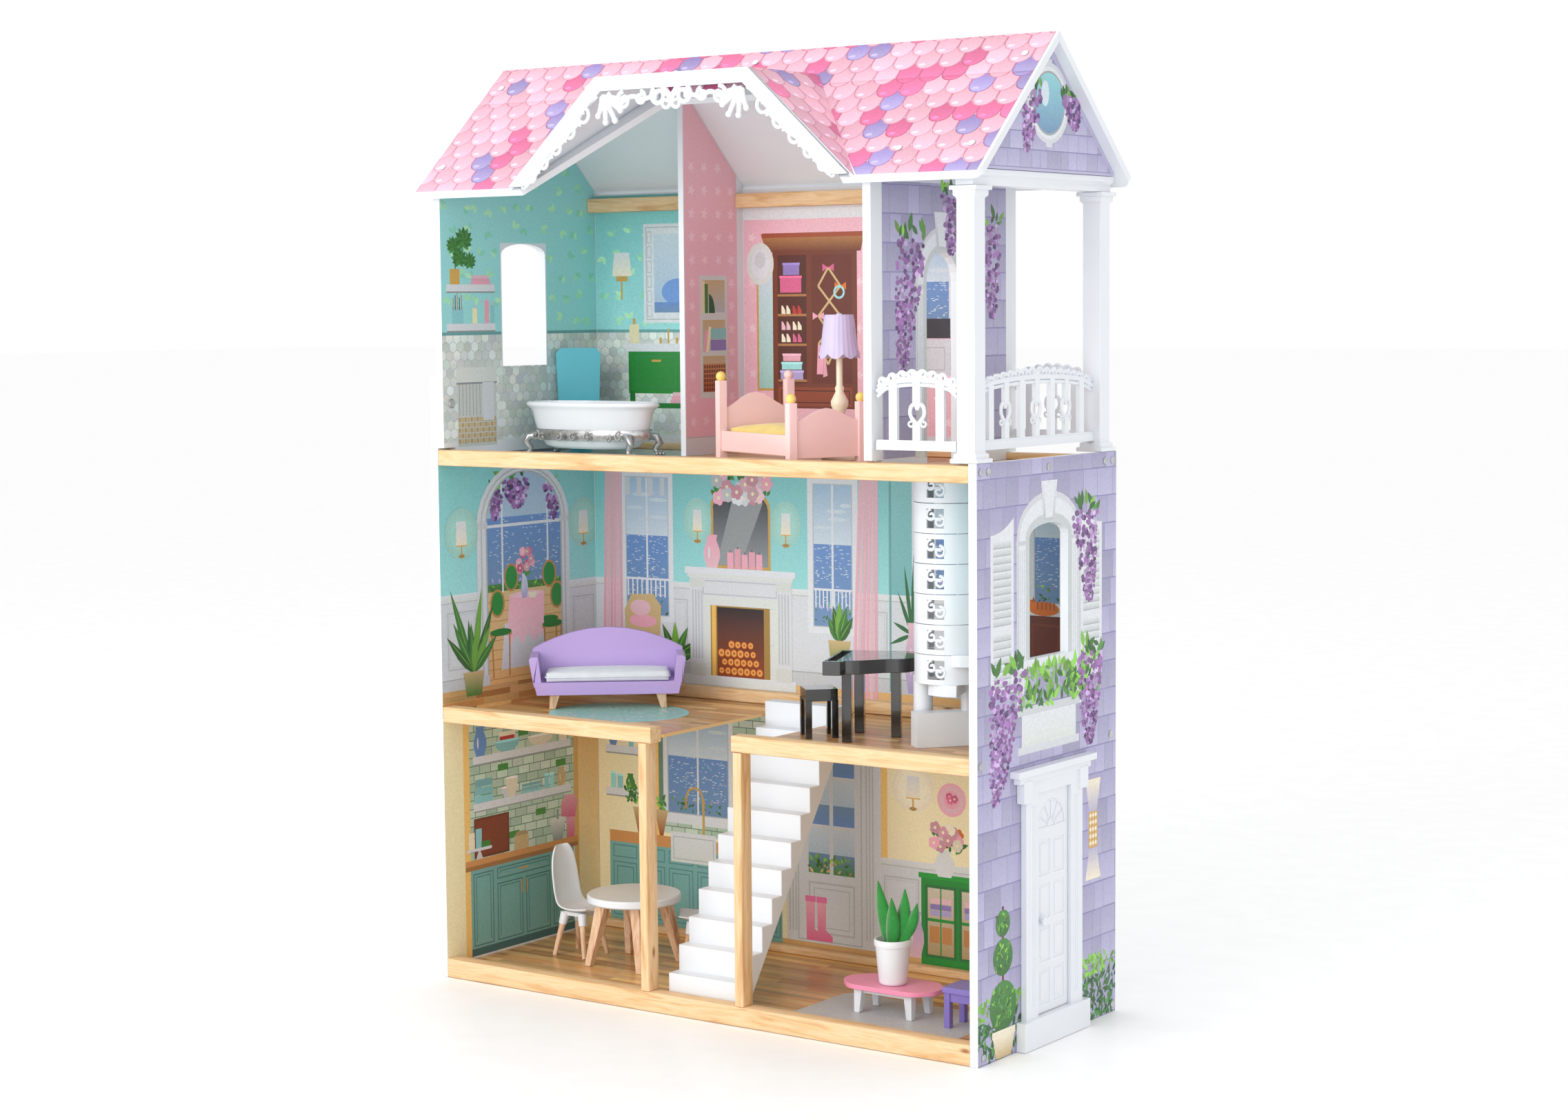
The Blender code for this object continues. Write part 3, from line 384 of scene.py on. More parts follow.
class Finish:
    """A procedural material: a helper round its node tree."""

    def __init__(self, name):
        self.made = bpy.data.materials.new(name)
        self.made.use_nodes = True
        self.tree = self.made.node_tree
        self.shader = self.tree.nodes["Principled BSDF"]
        self.where = self.node("ShaderNodeTexCoord").outputs["Object"]

    def node(self, kind, inputs=(), **settings):
        made = self.tree.nodes.new(kind)
        for name, value in settings.items():
            setattr(made, name, value)
        for socket, value in dict(inputs).items():
            if isinstance(value, bpy.types.NodeSocket):
                self.tree.links.new(value, made.inputs[socket])
            else:
                made.inputs[socket].default_value = value
        return made

    def set(self, **values):
        for name, value in values.items():
            socket = self.shader.inputs[name.replace("_", " ")]
            if isinstance(value, bpy.types.NodeSocket):
                self.tree.links.new(value, socket)
            else:
                socket.default_value = value

    def stretched(self, scale):
        return self.node("ShaderNodeMapping", {"Vector": self.where, "Scale": scale}).outputs["Vector"]

    def noise(self, scale, detail=3.0, where=None, distortion=0.0):
        return self.node("ShaderNodeTexNoise",
                         {"Vector": where or self.where, "Scale": scale, "Detail": detail,
                          "Distortion": distortion}).outputs["Fac"]

    def ramp(self, value, *stops):
        """Colours (or grey levels) at places along a value."""
        made = self.node("ShaderNodeValToRGB", {"Fac": value})
        elements = made.color_ramp.elements
        while len(elements) < len(stops):
            elements.new(0.5)
        for element, (place, colour) in zip(elements, stops):
            element.position = place
            element.color = (*colour, 1) if isinstance(colour, tuple) else (colour, colour, colour, 1)
        return made.outputs["Color"]

    def mix(self, share, a, b, blend="MIX"):
        made = self.node("ShaderNodeMix", data_type="RGBA", blend_type=blend)
        share_socket, first_colour, second_colour = (made.inputs[number] for number in (0, 6, 7))
        for socket, value in ((share_socket, share), (first_colour, a), (second_colour, b)):
            if isinstance(value, bpy.types.NodeSocket):
                self.tree.links.new(value, socket)
            else:
                socket.default_value = value
        return made.outputs[2]

    def bump(self, height, strength, distance=0.0004):
        made = self.node("ShaderNodeBump", {"Height": height, "Strength": strength, "Distance": distance})
        self.tree.links.new(made.outputs["Normal"], self.shader.inputs["Normal"])


made_finishes = {}


def kept(maker):
    """Makes each material once."""
    def once(*words):
        key = (maker.__name__, *words)
        if key not in made_finishes:
            made_finishes[key] = maker(*words)
        return made_finishes[key]
    return once


@kept
def printed():
    """Ink under a satin film: the shape's own colour with a faint print grain."""
    finish = Finish("printed film")
    colour = finish.node("ShaderNodeVertexColor", layer_name="ink").outputs["Color"]
    grain = finish.ramp(finish.noise(420, 4), (0.3, 0.86), (0.7, 1.0))
    finish.set(Base_Color=finish.mix(1.0, colour, grain, "MULTIPLY"), Coat_Weight=0.12, Coat_Roughness=0.25,
               Roughness=finish.ramp(finish.noise(60), (0.3, 0.42), (0.7, 0.52)))
    finish.bump(finish.noise(900, 2), 0.06)
    return finish.made


@kept
def boards():
    """Printed floorboards: ink with streaks along X."""
    finish = Finish("printed boards")
    colour = finish.node("ShaderNodeVertexColor", layer_name="ink").outputs["Color"]
    streaks = finish.noise(30, 6, finish.stretched((1, 14, 1)), 0.6)
    grain = finish.ramp(streaks, (0.3, 0.72), (0.52, 1.0), (0.7, 0.88))
    finish.set(Base_Color=finish.mix(1.0, colour, grain, "MULTIPLY"), Coat_Weight=0.3, Coat_Roughness=0.18,
               Roughness=finish.ramp(streaks, (0.3, 0.42), (0.7, 0.3)))
    finish.bump(streaks, 0.08)
    return finish.made


@kept
def paint(colour, roughness=0.38, bumps=0.03):
    """Sprayed paint or moulded plastic: one colour with a slight mottle and orange peel."""
    finish = Finish(f"{colour} paint {roughness}")
    base = (*ink(colour), 1)
    mottle = finish.ramp(finish.noise(18, 2), (0.3, 0.975), (0.7, 1.0))
    finish.set(Base_Color=finish.mix(1.0, base, mottle, "MULTIPLY"), Coat_Weight=0.15, Coat_Roughness=0.2,
               Roughness=finish.ramp(finish.noise(90, 4), (0.3, roughness - 0.02), (0.7, roughness + 0.03)))
    finish.bump(finish.noise(380, 3), bumps)
    return finish.made


@kept
def pine(axis, tone="pine"):
    """Planed pine with its grain along one axis: fine streaks, broad rings and a few small knots."""
    finish = Finish(f"{tone} along {axis}")

    def along(times):
        """Coordinates squeezed across the grain."""
        return finish.stretched([1.0 if name == axis else times for name in "XYZ"])

    rings = finish.noise(9, 4, along(11.0), 1.1)
    streaks = finish.noise(55, 7, along(16.0))
    pale, mid, dark = ((239, 204, 160), (231, 191, 140), (213, 166, 113))
    if tone == "beech":
        pale, mid, dark = ((238, 204, 172), (222, 178, 140), (190, 138, 100))
    colour = finish.ramp(rings, (0.32, ink(dark)), (0.44, ink(mid)), (0.56, ink(pale)), (0.66, ink(mid)))
    fine = finish.ramp(streaks, (0.35, 0.90), (0.6, 1.0))
    knots = finish.node("ShaderNodeTexVoronoi", {"Vector": along(2.6), "Scale": 9.0}).outputs["Distance"]
    spots = finish.ramp(knots, (0.03, (0.42, 0.24, 0.13)), (0.09, 1.0))
    grained = finish.mix(1.0, colour, fine, "MULTIPLY")
    finish.set(Base_Color=finish.mix(1.0, grained, spots, "MULTIPLY"),
               Roughness=finish.ramp(streaks, (0.3, 0.62), (0.7, 0.46)))
    finish.bump(streaks, 0.15)
    return finish.made


@kept
def lacquer():
    finish = Finish("black lacquer")
    dust = finish.noise(60, 6)
    finish.set(Base_Color=finish.ramp(dust, (0.3, 0.006), (0.75, 0.014)), Coat_Weight=1.0,
               Coat_Roughness=0.04, Roughness=finish.ramp(dust, (0.3, 0.16), (0.7, 0.28)))
    finish.bump(finish.noise(40, 2), 0.05)
    return finish.made


@kept
def silver():
    finish = Finish("silver plating")
    cloud = finish.noise(120, 5)
    finish.set(Base_Color=finish.ramp(cloud, (0.3, 0.42), (0.7, 0.62)), Metallic=0.9,
               Roughness=finish.ramp(cloud, (0.3, 0.22), (0.7, 0.36)))
    finish.bump(cloud, 0.25)
    return finish.made


@kept
def cloth(colour, thread=0.9):
    """Woven cloth, with threads both ways."""
    finish = Finish(f"{colour} cloth")
    waves = [finish.node("ShaderNodeTexWave",
                         {"Vector": finish.where, "Scale": 260.0 / thread, "Distortion": 0.6},
                         bands_direction=axis).outputs["Fac"] for axis in "XY"]
    weave = finish.mix(0.5, waves[0], waves[1])
    shade = finish.ramp(finish.noise(45, 5), (0.3, 0.90), (0.7, 1.0))
    finish.set(Base_Color=finish.mix(1.0, (*ink(colour), 1), shade, "MULTIPLY"), Sheen_Weight=0.4,
               Roughness=finish.ramp(weave, (0.2, 0.95), (0.8, 0.8)))
    finish.bump(weave, 0.35, 0.0002)
    return finish.made


@kept
def felt(colour):
    finish = Finish(f"{colour} felt")
    fluff = finish.noise(700, 6)
    tone = finish.mix(finish.noise(60), (*ink(colour, 0.8), 1), (*ink(colour, 1.1), 1))
    finish.set(Base_Color=finish.mix(0.5, tone, finish.ramp(fluff, (0.35, 0.5), (0.7, 1.0)), "MULTIPLY"),
               Roughness=0.98, Sheen_Weight=0.6)
    finish.bump(fluff, 0.6)
    return finish.made


# ---------------------------------------------------------------- solid shapes, in millimetres


def slab(outline, low, high, plane="xy"):
    """An outline extruded from low to high, square to its plane."""
    bm = bmesh.new()
    rings = [[bm.verts.new((u, v, w)) for u, v in outline] for w in (low, high)]
    for a, b, c, d in zip(rings[0], rings[0][1:] + rings[0][:1], rings[1][1:] + rings[1][:1], rings[1]):
        bm.faces.new((a, b, c, d))
    bm.faces.new(rings[0])
    bm.faces.new(rings[1])
    axes = {"xy": ((1, 0, 0), (0, 1, 0), (0, 0, 1)), "xz": ((1, 0, 0), (0, 0, 1), (0, 1, 0)),
            "yz": ((0, 0, 1), (1, 0, 0), (0, 1, 0))}[plane]
    bmesh.ops.transform(bm, matrix=Matrix(axes).to_4x4(), verts=bm.verts[:])
    return bm


def block(low, high):
    return slab(rect(low[0], low[1], high[0], high[1]), low[2], high[2])


def turned(profile, sides=48, squash=1.0, centre=(0, 0), closed=True):
    """A solid of revolution about Z from (radius, height) points."""
    bm = bmesh.new()
    rings = []
    for radius, z in profile:
        wide = max(radius, 0.01)
        rings.append([bm.verts.new((x, y, z)) for x, y in oval(*centre, wide, wide * squash, count=sides)])
    for low, high in zip(rings, rings[1:]):
        for a, b, c, d in zip(low, low[1:] + low[:1], high[1:] + high[:1], high):
            bm.faces.new((a, b, c, d))
    if closed:
        bm.faces.new(rings[0])
        bm.faces.new(rings[-1])
    return bm


def tube(path, radii, sides=8, flat=1.0, across=None):
    """A rod along a path, with a radius at each point. flat squashes it towards the plane across."""
    path = [Vector(point) for point in path]
    radii = [radii] * len(path) if isinstance(radii, (int, float)) else radii
    up = Vector(across or (0, 1, 0))
    bm = bmesh.new()
    rings = []
    for number, (point, radius) in enumerate(zip(path, radii)):
        along = (path[min(number + 1, len(path) - 1)] - path[max(number - 1, 0)]).normalized()
        side = along.cross(up).normalized()
        other = side.cross(along)
        turns = [math.tau * i / sides for i in range(sides)]
        wide, thick = side * radius, other * radius
        rings.append([bm.verts.new(point + wide * math.cos(turn) + thick * flat * math.sin(turn))
                      for turn in turns])
    for low, high in zip(rings, rings[1:]):
        for i in range(sides):
            j = (i + 1) % sides
            bm.faces.new((low[i], low[j], high[j], high[i]))
    bm.faces.new(rings[0])
    bm.faces.new(rings[-1])
    return bm


def ball(centre, radius, flat=1.0, detail=16):
    bm = bmesh.new()
    bmesh.ops.create_uvsphere(bm, u_segments=detail, v_segments=detail // 2, radius=radius)
    bmesh.ops.transform(bm, matrix=Matrix.Translation(centre) @ Matrix.Diagonal((1, 1, flat, 1)),
                        verts=bm.verts[:])
    return bm


def solid(name, shapes, finish, body, at=(0, 0, 0), turn=0.0, bevel=0.0, stands_for=(), smooth=30):
    """One piece made of overlapping shapes, with soft edges, that rides on a body."""
    mesh = bpy.data.meshes.new(name)
    whole = bmesh.new()
    for bm in shapes:
        bmesh.ops.recalc_face_normals(bm, faces=bm.faces[:])
        bm.to_mesh(mesh)
        bm.free()
        whole.from_mesh(mesh)
    place = Matrix.Translation(house(*at)) @ Matrix.Rotation(math.radians(turn), 4, "Z") @ Matrix.Scale(MM, 4)
    bmesh.ops.transform(whole, matrix=place, verts=whole.verts[:])
    whole.to_mesh(mesh)
    whole.free()
    return finished(name, mesh, finish, body, bevel, stands_for, smooth)


def finished(name, mesh, finish, body, bevel, stands_for, smooth=30):
    made = bpy.data.objects.new(name, mesh)
    bpy.context.scene.collection.objects.link(made)
    mesh.materials.clear()
    mesh.materials.append(finish)
    mesh.shade_smooth()
    mesh.set_sharp_from_angle(angle=math.radians(smooth))
    if bevel:
        soft = made.modifiers.new("soft edges", "BEVEL")
        soft.width, soft.segments, soft.limit_method = bevel * MM, 2, "ANGLE"
        soft.angle_limit = math.radians(25)
        soft.harden_normals = True
        soft.use_clamp_overlap = True
    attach(made, body)
    if stands_for:
        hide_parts(*stands_for)
    return made


def softened(node, finish, body="house", bevel=0.6, others=()):
    """A CAD piece again with soft edges. others pairs a finish with a test of a face's middle."""
    bm = bmesh.new()
    bm.from_mesh(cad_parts[node].data)
    bmesh.ops.remove_doubles(bm, verts=bm.verts[:], dist=0.00002)
    bmesh.ops.dissolve_limit(bm, angle_limit=math.radians(0.8), verts=bm.verts[:], edges=bm.edges[:])
    mesh = bpy.data.meshes.new(node + "_look")
    bm.to_mesh(mesh)
    bm.free()
    made = finished(node + "_look", mesh, finish, body, bevel, (node,))
    for other, test in others:
        mesh.materials.append(other)
        for face in mesh.polygons:
            if test(*((face.center - CORNER) / MM)):
                face.material_index = len(mesh.materials) - 1
    return made


def paint_node(node, finish):
    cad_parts[node].material_slots[0].material = finish


# ---------------------------------------------------------------- panels, rails and mouldings

WHITE_PIECES = ("left_lower_wall", "upper_floor", "roof_back", "roof_front", "dormer_left_cheek",
                "dormer_right_cheek", "dormer_top")


def structure():
    """The boards keep their CAD shapes; rails, columns and mouldings get soft edges."""
    for node in WHITE_PIECES:
        paint_node(node, paint("white", 0.4))
    for node, colour in (("right_wall", "white"), ("balcony_wall", "white"), ("gable_panel", "shingle"),
                         ("left_upper_wall", "white"), ("partition_wall", "white"),
                         ("back_panel_lower", "white"), ("back_panel_bath", "white"),
                         ("back_panel_bedroom", "white"),
                         ("ground_floor", "plank"), ("mid_floor", "plank")):
        paint_node(node, paint(colour, 0.42))
    for node in ("front_rail_ground", "front_rail_mid_left", "front_rail_mid_right", "front_rail_upper",
                 "back_rail_ground", "back_rail_mid", "back_rail_upper", "crossbar_left", "crossbar_right"):
        softened(node, pine("X"), bevel=0.5)
    for node in ("post_left", "post_right"):
        softened(node, pine("Z"), bevel=0.5)
    for node, bevel in (("column_front", 0.7), ("column_back", 0.7), ("balcony_beam", 0.8),
                        ("straight_stairs", 1.2), ("spiral_treads", 0.5)):
        softened(node, paint("white", 0.3), bevel=bevel)
    softened("door_frame", paint("white", 0.3), bevel=0.6)
    softened("door_leaf", paint("white", 0.3), "front_door", 0.4)
    softened("door_knob", paint("white", 0.3), "front_door", 0.4)


def scroll(centre, reach, start, turns, radius, hand=1, depth=0.0, count=22):
    """A spiral that starts at its outer end, in the XZ plane, as a tapering tube."""
    path, radii = [], []
    for i in range(count + 1):
        share = i / count
        turn = math.radians(start) + hand * math.tau * turns * share
        out = reach * (1 - share) ** 0.75 + radius * 0.7 * share
        path.append((centre[0] + out * math.cos(turn), depth, centre[1] + out * math.sin(turn)))
        radii.append(radius * (1 - 0.35 * share) * (1 + 0.5 * (share > 0.9)))
    return tube(path, radii, 8, 0.8)


def swoop(points, radii, depth=0.0, count=14, flat=0.8):
    """A smooth tube through a few (x, z) points."""
    spline = []
    ends = [points[0], *points, points[-1]]
    for a, b, c, d in zip(ends, ends[1:], ends[2:], ends[3:]):
        for i in range(count):
            t = i / count
            spline.append([0.5 * (2 * q + (r - p) * t + (2 * p - 5 * q + 4 * r - s) * t * t
                                  + (3 * q - p - 3 * r + s) * t ** 3) for p, q, r, s in zip(a, b, c, d)])
    spline.append(list(points[-1]))
    last = len(spline) - 1
    sizes = [radii[0] + (radii[1] - radii[0]) * abs(2 * i / last - 1) for i in range(last + 1)]
    return tube([(x, depth, z) for x, z in spline], sizes, 8, flat)


def trim():
    """The white fretwork round the dormer: a stepped band with scrolls inside it and a heart."""
    low, high = span("dormer_trim")
    middle, foot, head = (low.x + high.x) / 2, low.z, span("dormer_top")[1].z
    front, back = low.y, high.y
    half_foot, half_head = (high.x - low.x) / 2, (span("dormer_top")[1].x - span("dormer_top")[0].x) / 2
    depth = (front + back) / 2

    def ring(drop, rise=0.0):
        """The band's path, a set distance inside its outer edge."""
        slant = drop * 1.42
        return [(-half_foot + slant, foot + rise), (-half_head + drop * 0.45, head - drop),
                (half_head - drop * 0.45, head - drop), (half_foot - slant, foot + rise)]

    shapes = []
    for outer, inner, near, far in ((0, 17, 0.8, 0), (0, 4.5, 0, 0.8), (12, 17.5, 0.2, 0.8)):
        a, b = ring(outer), ring(inner)
        for i in range(3):
            quad = [a[i], a[i + 1], b[i + 1], b[i]]
            shapes.append(slab(quad, front + near, back - far, "xz"))
    for side in (-1, 1):
        def mirrored(points):
            return [(side * x, z) for x, z in points]

        def curl(x, z, reach, start, turns, radius, hand):
            angle = start if side > 0 else 180 - start
            shapes.append(scroll((side * x, z), reach * 1.2, angle, turns, radius * 1.45, hand * side, depth))

        # A fan of lobes at the upper corner, between two curls.
        corner = (half_head - 9, head - 24)
        for number, turn in enumerate((188, 212, 236, 260, 284)):
            long = (26, 34, 36, 32, 24)[number]
            tip = (corner[0] + long * math.cos(math.radians(turn)),
                   corner[1] + long * math.sin(math.radians(turn)))
            near = (corner[0] + 0.5 * tip[0] - 0.5 * corner[0] - 1.5, (corner[1] + tip[1]) / 2)
            shapes.append(swoop(mirrored([corner, near, tip]), (3.6, 3.0), depth))
            shapes.append(ball((side * tip[0], depth, tip[1]), 4.2))
        shapes.append(swoop(mirrored([(96, head - 20), (82, head - 34), (60, head - 26), (40, head - 30),
                                      (18, head - 22)]), (3.2, 2.8), depth))
        curl(72, head - 30, 9, 90, 1.2, 2.1, -1)
        curl(47, head - 28, 7, 100, 1.1, 1.9, 1)
        # The heart's half, and the scrolls that carry it.
        shapes.append(swoop(mirrored([(0, head - 10), (7, head - 3), (13, head - 9), (9, head - 20),
                                      (0, head - 30)]), (4.6, 4.2), depth))
        curl(19, head - 27, 9, 60, 1.3, 2.4, -1)
        curl(8, head - 36, 6, 120, 1.1, 2.0, 1)
        # Down the slope: a running scroll of S shapes.
        slope = Vector((half_foot - half_head, foot - head))
        for share, reach in ((0.30, 10), (0.45, 8.5), (0.60, 8), (0.74, 7), (0.87, 6)):
            at = Vector((half_head, head)) + slope * share - Vector((22, 8)) * (1 - 0.25 * share)
            curl(at.x, at.y, reach, 40, 1.25, 2.0, 1)
            curl(at.x + 12, at.y - 10, reach * 0.62, 200, 1.1, 1.6, -1)
        line = [Vector((half_head, head)) + slope * s - Vector((19, 6)) + Vector((0, 3.0 * math.sin(s * 30)))
                for s in (0.12, 0.26, 0.4, 0.54, 0.68, 0.82, 0.95)]
        shapes.append(swoop(mirrored([tuple(p) for p in line]), (3.0, 2.6), depth))
    solid("dormer_fretwork", shapes, paint("white", 0.3), "house", (middle, 0, 0), 0, 0.0,
          ("dormer_trim",), 40)


def railing(node, across):
    """A cast railing: bottom bar, plain and heart balusters, and a top rail of leafy scrolls."""
    low, high = span(node)
    centre = (low + high) / 2
    along = (high.x - low.x) if across == 0 else (high.y - low.y)
    half, foot, crown = along / 2, low.z, high.z
    shapes = [block((-half, -4, foot), (half, 4, foot + 9.5)),
              block((-half, -3, foot + 9), (half, 3, foot + 11.5))]
    pitch = 35.2
    plain = [-32.0, 32.0] if across == 0 else [pitch * n for n in (-3, -1, 1, 3)]
    hearted = [0.0] if across == 0 else [2 * pitch * n for n in (-1, 0, 1)]
    end = crown - 22  # the top rail's level at its ends

    def height(x):
        return end + (crown - end - 8) * math.sqrt(max(0.0, 1 - (x / half) ** 2))

    for x in plain:
        shapes.append(slab([(x - 5.5, foot + 10), (x + 5.5, foot + 10), (x + 5.5, height(x) - 2),
                            (x - 5.5, height(x) - 2)], -2.6, 2.6, "xz"))
    for x in hearted:
        top = height(x) - 2
        for z0, z1 in ((foot + 10, foot + 32), (foot + 52, top)):
            shapes.append(slab([(x - 5, z0), (x + 5, z0), (x + 5, z1), (x - 5, z1)], -2.4, 2.4, "xz"))
        for side in (-1, 1):
            shapes.append(swoop([(x, foot + 30), (x + side * 9, foot + 40), (x + side * 8.5, foot + 50),
                                 (x + side * 3, foot + 53), (x, foot + 47)], (2.6, 2.2)))
            shapes.append(scroll((x + side * 9, foot + 31), 5, 90, 1.1, 1.6, side, 0))
    # The top rail: a double rod with curls above it that meet at a leaf in the middle.
    rail = [(x, height(x) - 1) for x in [-half + half * i / 6 for i in range(13)]]
    shapes.append(swoop(rail, (3.6, 3.2), count=5, flat=1.0))
    shapes.append(swoop([(x, z - 6) for x, z in rail], (2.2, 2.2), count=5))
    count = 2 + 2 * len(hearted)
    for i in range(count):
        for side in (-1, 1):
            x = side * half * (i + 0.55) / count
            shapes.append(scroll((x, height(x) + 3.5), 6.5 - i * 0.6, 90 + 70 * side, 1.2, 2.2, -side, 0))
            spray = [(x, height(x)), (x - side * 6, height(x) + 6.5), (x - side * 13, height(x) + 3)]
            shapes.append(swoop(spray, (2.6, 1.4), count=6))
    shapes += [ball((0, 0, crown - 4.5), 4.2), ball((-5, 0, crown - 7), 3.4), ball((5, 0, crown - 7), 3.4)]
    for side in (-1, 1):
        shapes.append(scroll((side * (half - 5), end + 2), 5, 90 - 60 * side, 1.3, 2.4, side, 0))
    solid(node + "_look", shapes, paint("white", 0.3), "house", (centre.x, centre.y, 0), 90 * across, 0.0,
          (node,), 40)


def drum():
    """The spiral's casing: a stack of curved panels, each with a scroll in a window towards the front."""
    low, high = span("spiral_drum")
    radius = (high.y - low.y) / 2
    wall, level, storeys, joint = 3.0, 36.3, 7, 0.9
    lattice_from, lattice_to, bar = 263, 293, 6
    lattice_depth, curls = radius - 1.7, 18
    shapes = []

    def panel(start, end, z0, z1, outer=radius):
        count = max(2, round((end - start) / 7))
        outline = oval(0, 0, outer, outer, start, end, count)
        outline += oval(0, 0, radius - wall, radius - wall, end, start, count)
        shapes.append(slab(outline, z0, z1))

    foot = high.z - level * storeys
    for number in range(storeys):
        z0, z1 = foot + level * number, foot + level * (number + 1) - joint
        middle = (z0 + z1) / 2
        inset = radius - (0.0 if number % 2 else 0.5)
        panel(150, lattice_from, z0, z1, inset)
        panel(lattice_to, 390, z0, z1, inset)
        panel(lattice_from, lattice_to, z0, z0 + bar, inset)
        panel(lattice_from, lattice_to, z1 - bar, z1, inset)
        for turn, hand in ((271, 1), (285, -1)):
            a = math.radians(turn)
            path = []
            for i in range(curls + 1):
                spin = math.tau * 1.2 * i / curls * hand + math.pi / 2
                out = 6.6 * (1 - i / curls) + 1.2
                side = out * math.cos(spin)
                path.append((lattice_depth * math.cos(a) - side * math.sin(a),
                             lattice_depth * math.sin(a) + side * math.cos(a),
                             middle + hand * 3.5 + out * math.sin(spin)))
            shapes.append(tube(path, 1.9, 8, 0.8, (math.cos(a), math.sin(a), 0)))
        panel(lattice_from, lattice_to, middle - 1.2, middle + 1.2, inset - 0.6)
    # The newel under the drum, and the drum's own bottom plate.
    shapes.append(slab(oval(-36, -4, 12, 12), span("spiral_treads")[0].z, foot + 6))
    bottom = oval(0, 0, radius - 1.2, radius - 1.2, 152, 205, 8) + oval(0, 0, 14, 14, 205, 152, 8)
    shapes.append(slab(bottom, foot + 0.5, foot + 5))
    at = (low.x + radius, low.y + radius, 0)
    solid("spiral_casing", shapes, paint("white", 0.3), "house", at, 0, 0.35, ("spiral_drum",))


def door_details():
    """A sunburst over the door's eight panels, their mouldings, and a letter plate."""
    low, high = span("door_leaf")
    middle, fan = (low.y + high.y) / 2, low.z + 223
    sunk, face = high.x - 1.2, high.x - 0.2
    sun = (9, 32)  # the inner and outer radius of the sunburst
    shapes = []
    for turn in range(0, 181, 30):
        a = math.radians(turn)
        ray = [(face - 0.5, middle + out * math.cos(a), fan + out * math.sin(a)) for out in sun]
        shapes.append(tube(ray, 0.9, 6, 1, (1, 0, 0)))
    for out in sun:
        arc = [(face - 0.4, middle + y, fan + z) for y, z in oval(0, 0, out, out, 0, 180)]
        shapes.append(tube(arc, 1.1, 6, 1, (1, 0, 0)))
    for row in range(4):
        for side in (-1, 1):
            y, z0 = middle + side * 17, low.z + 10 + row * 52
            shapes.append(slab(rect(y - 9, z0 + 4, y + 9, z0 + 38), sunk - 0.2, face - 0.3, "yz"))
    shapes.append(slab(rect(middle - 9, low.z + 58, middle + 9, low.z + 62), face, face + 0.6, "yz"))
    solid("door_mouldings", shapes, paint("white", 0.3), "front_door", bevel=0.3)
    reeds = []
    reed_x = span("door_frame")[1].x - 6.3
    for hand in (-1, 1):
        for number in range(3):
            y = middle + hand * (46 + number * 5)
            reeds.append(tube([(reed_x, y, 50), (reed_x, y, 290)], 1.4, 8, 1, (1, 0, 0)))
    solid("door_fluting", reeds, paint("white", 0.3), "house")


def stood(bm, place, angle, axis):
    """Turns a shape about one axis and moves it to its place."""
    bmesh.ops.transform(bm, matrix=Matrix.Translation(place) @ Matrix.Rotation(angle, 4, axis),
                        verts=bm.verts[:])
    return bm


def screws():
    """Screw heads on the right wall, and one bolt on the left one."""
    heads = []
    for y, z in ((9, 689), (163, 688), (318, 688), (7, 351), (315, 350), (12, 9), (320, 9), (25, 689),
                 (300, 688)):
        head = turned([(4.6, 0), (4.6, 0.8), (3.6, 1.4)], 20)
        heads.append(stood(head, (RIGHT + 0.2, y, z), math.pi / 2, "Y"))
        heads.append(block((RIGHT + 1.2, y - 2.6, z - 0.5), (RIGHT + 1.75, y + 2.6, z + 0.5)))
    bolt = turned([(6, 0), (6, 1.2), (4.6, 2.2)], 24)
    heads.append(stood(bolt, (LEFT_UPPER + 0.4, 15, 757), math.pi / 2, "Y"))
    solid("screw_heads", heads, silver(), "house", bevel=0.2)


# ---------------------------------------------------------------- what is printed on the panels


def cut(points, a, b):
    """The part of a convex outline to the left of the line from a to b."""
    across = Vector((b[1] - a[1], a[0] - b[0]))
    kept = []
    for p, q in zip(points, points[1:] + points[:1]):
        over_p, over_q = ((Vector(r) - Vector(a)).dot(across) for r in (p, q))
        if over_p <= 0:
            kept.append(p)
        if (over_p <= 0) != (over_q <= 0):
            kept.append(tuple(Vector(p).lerp(Vector(q), over_p / (over_p - over_q))))
    return kept if len(kept) > 2 else []


def whole(points, region):
    """True for an outline that lies wholly inside a convex region."""
    return all(len(cut(points, a, b)) == len(points) for a, b in zip(region, region[1:] + region[:1]))


ROOF_PITCH = math.radians(43.04)
SCALE_WIDE, SCALE_ROW, SCALE_HIGH = 32.0, 25.0, 35.0


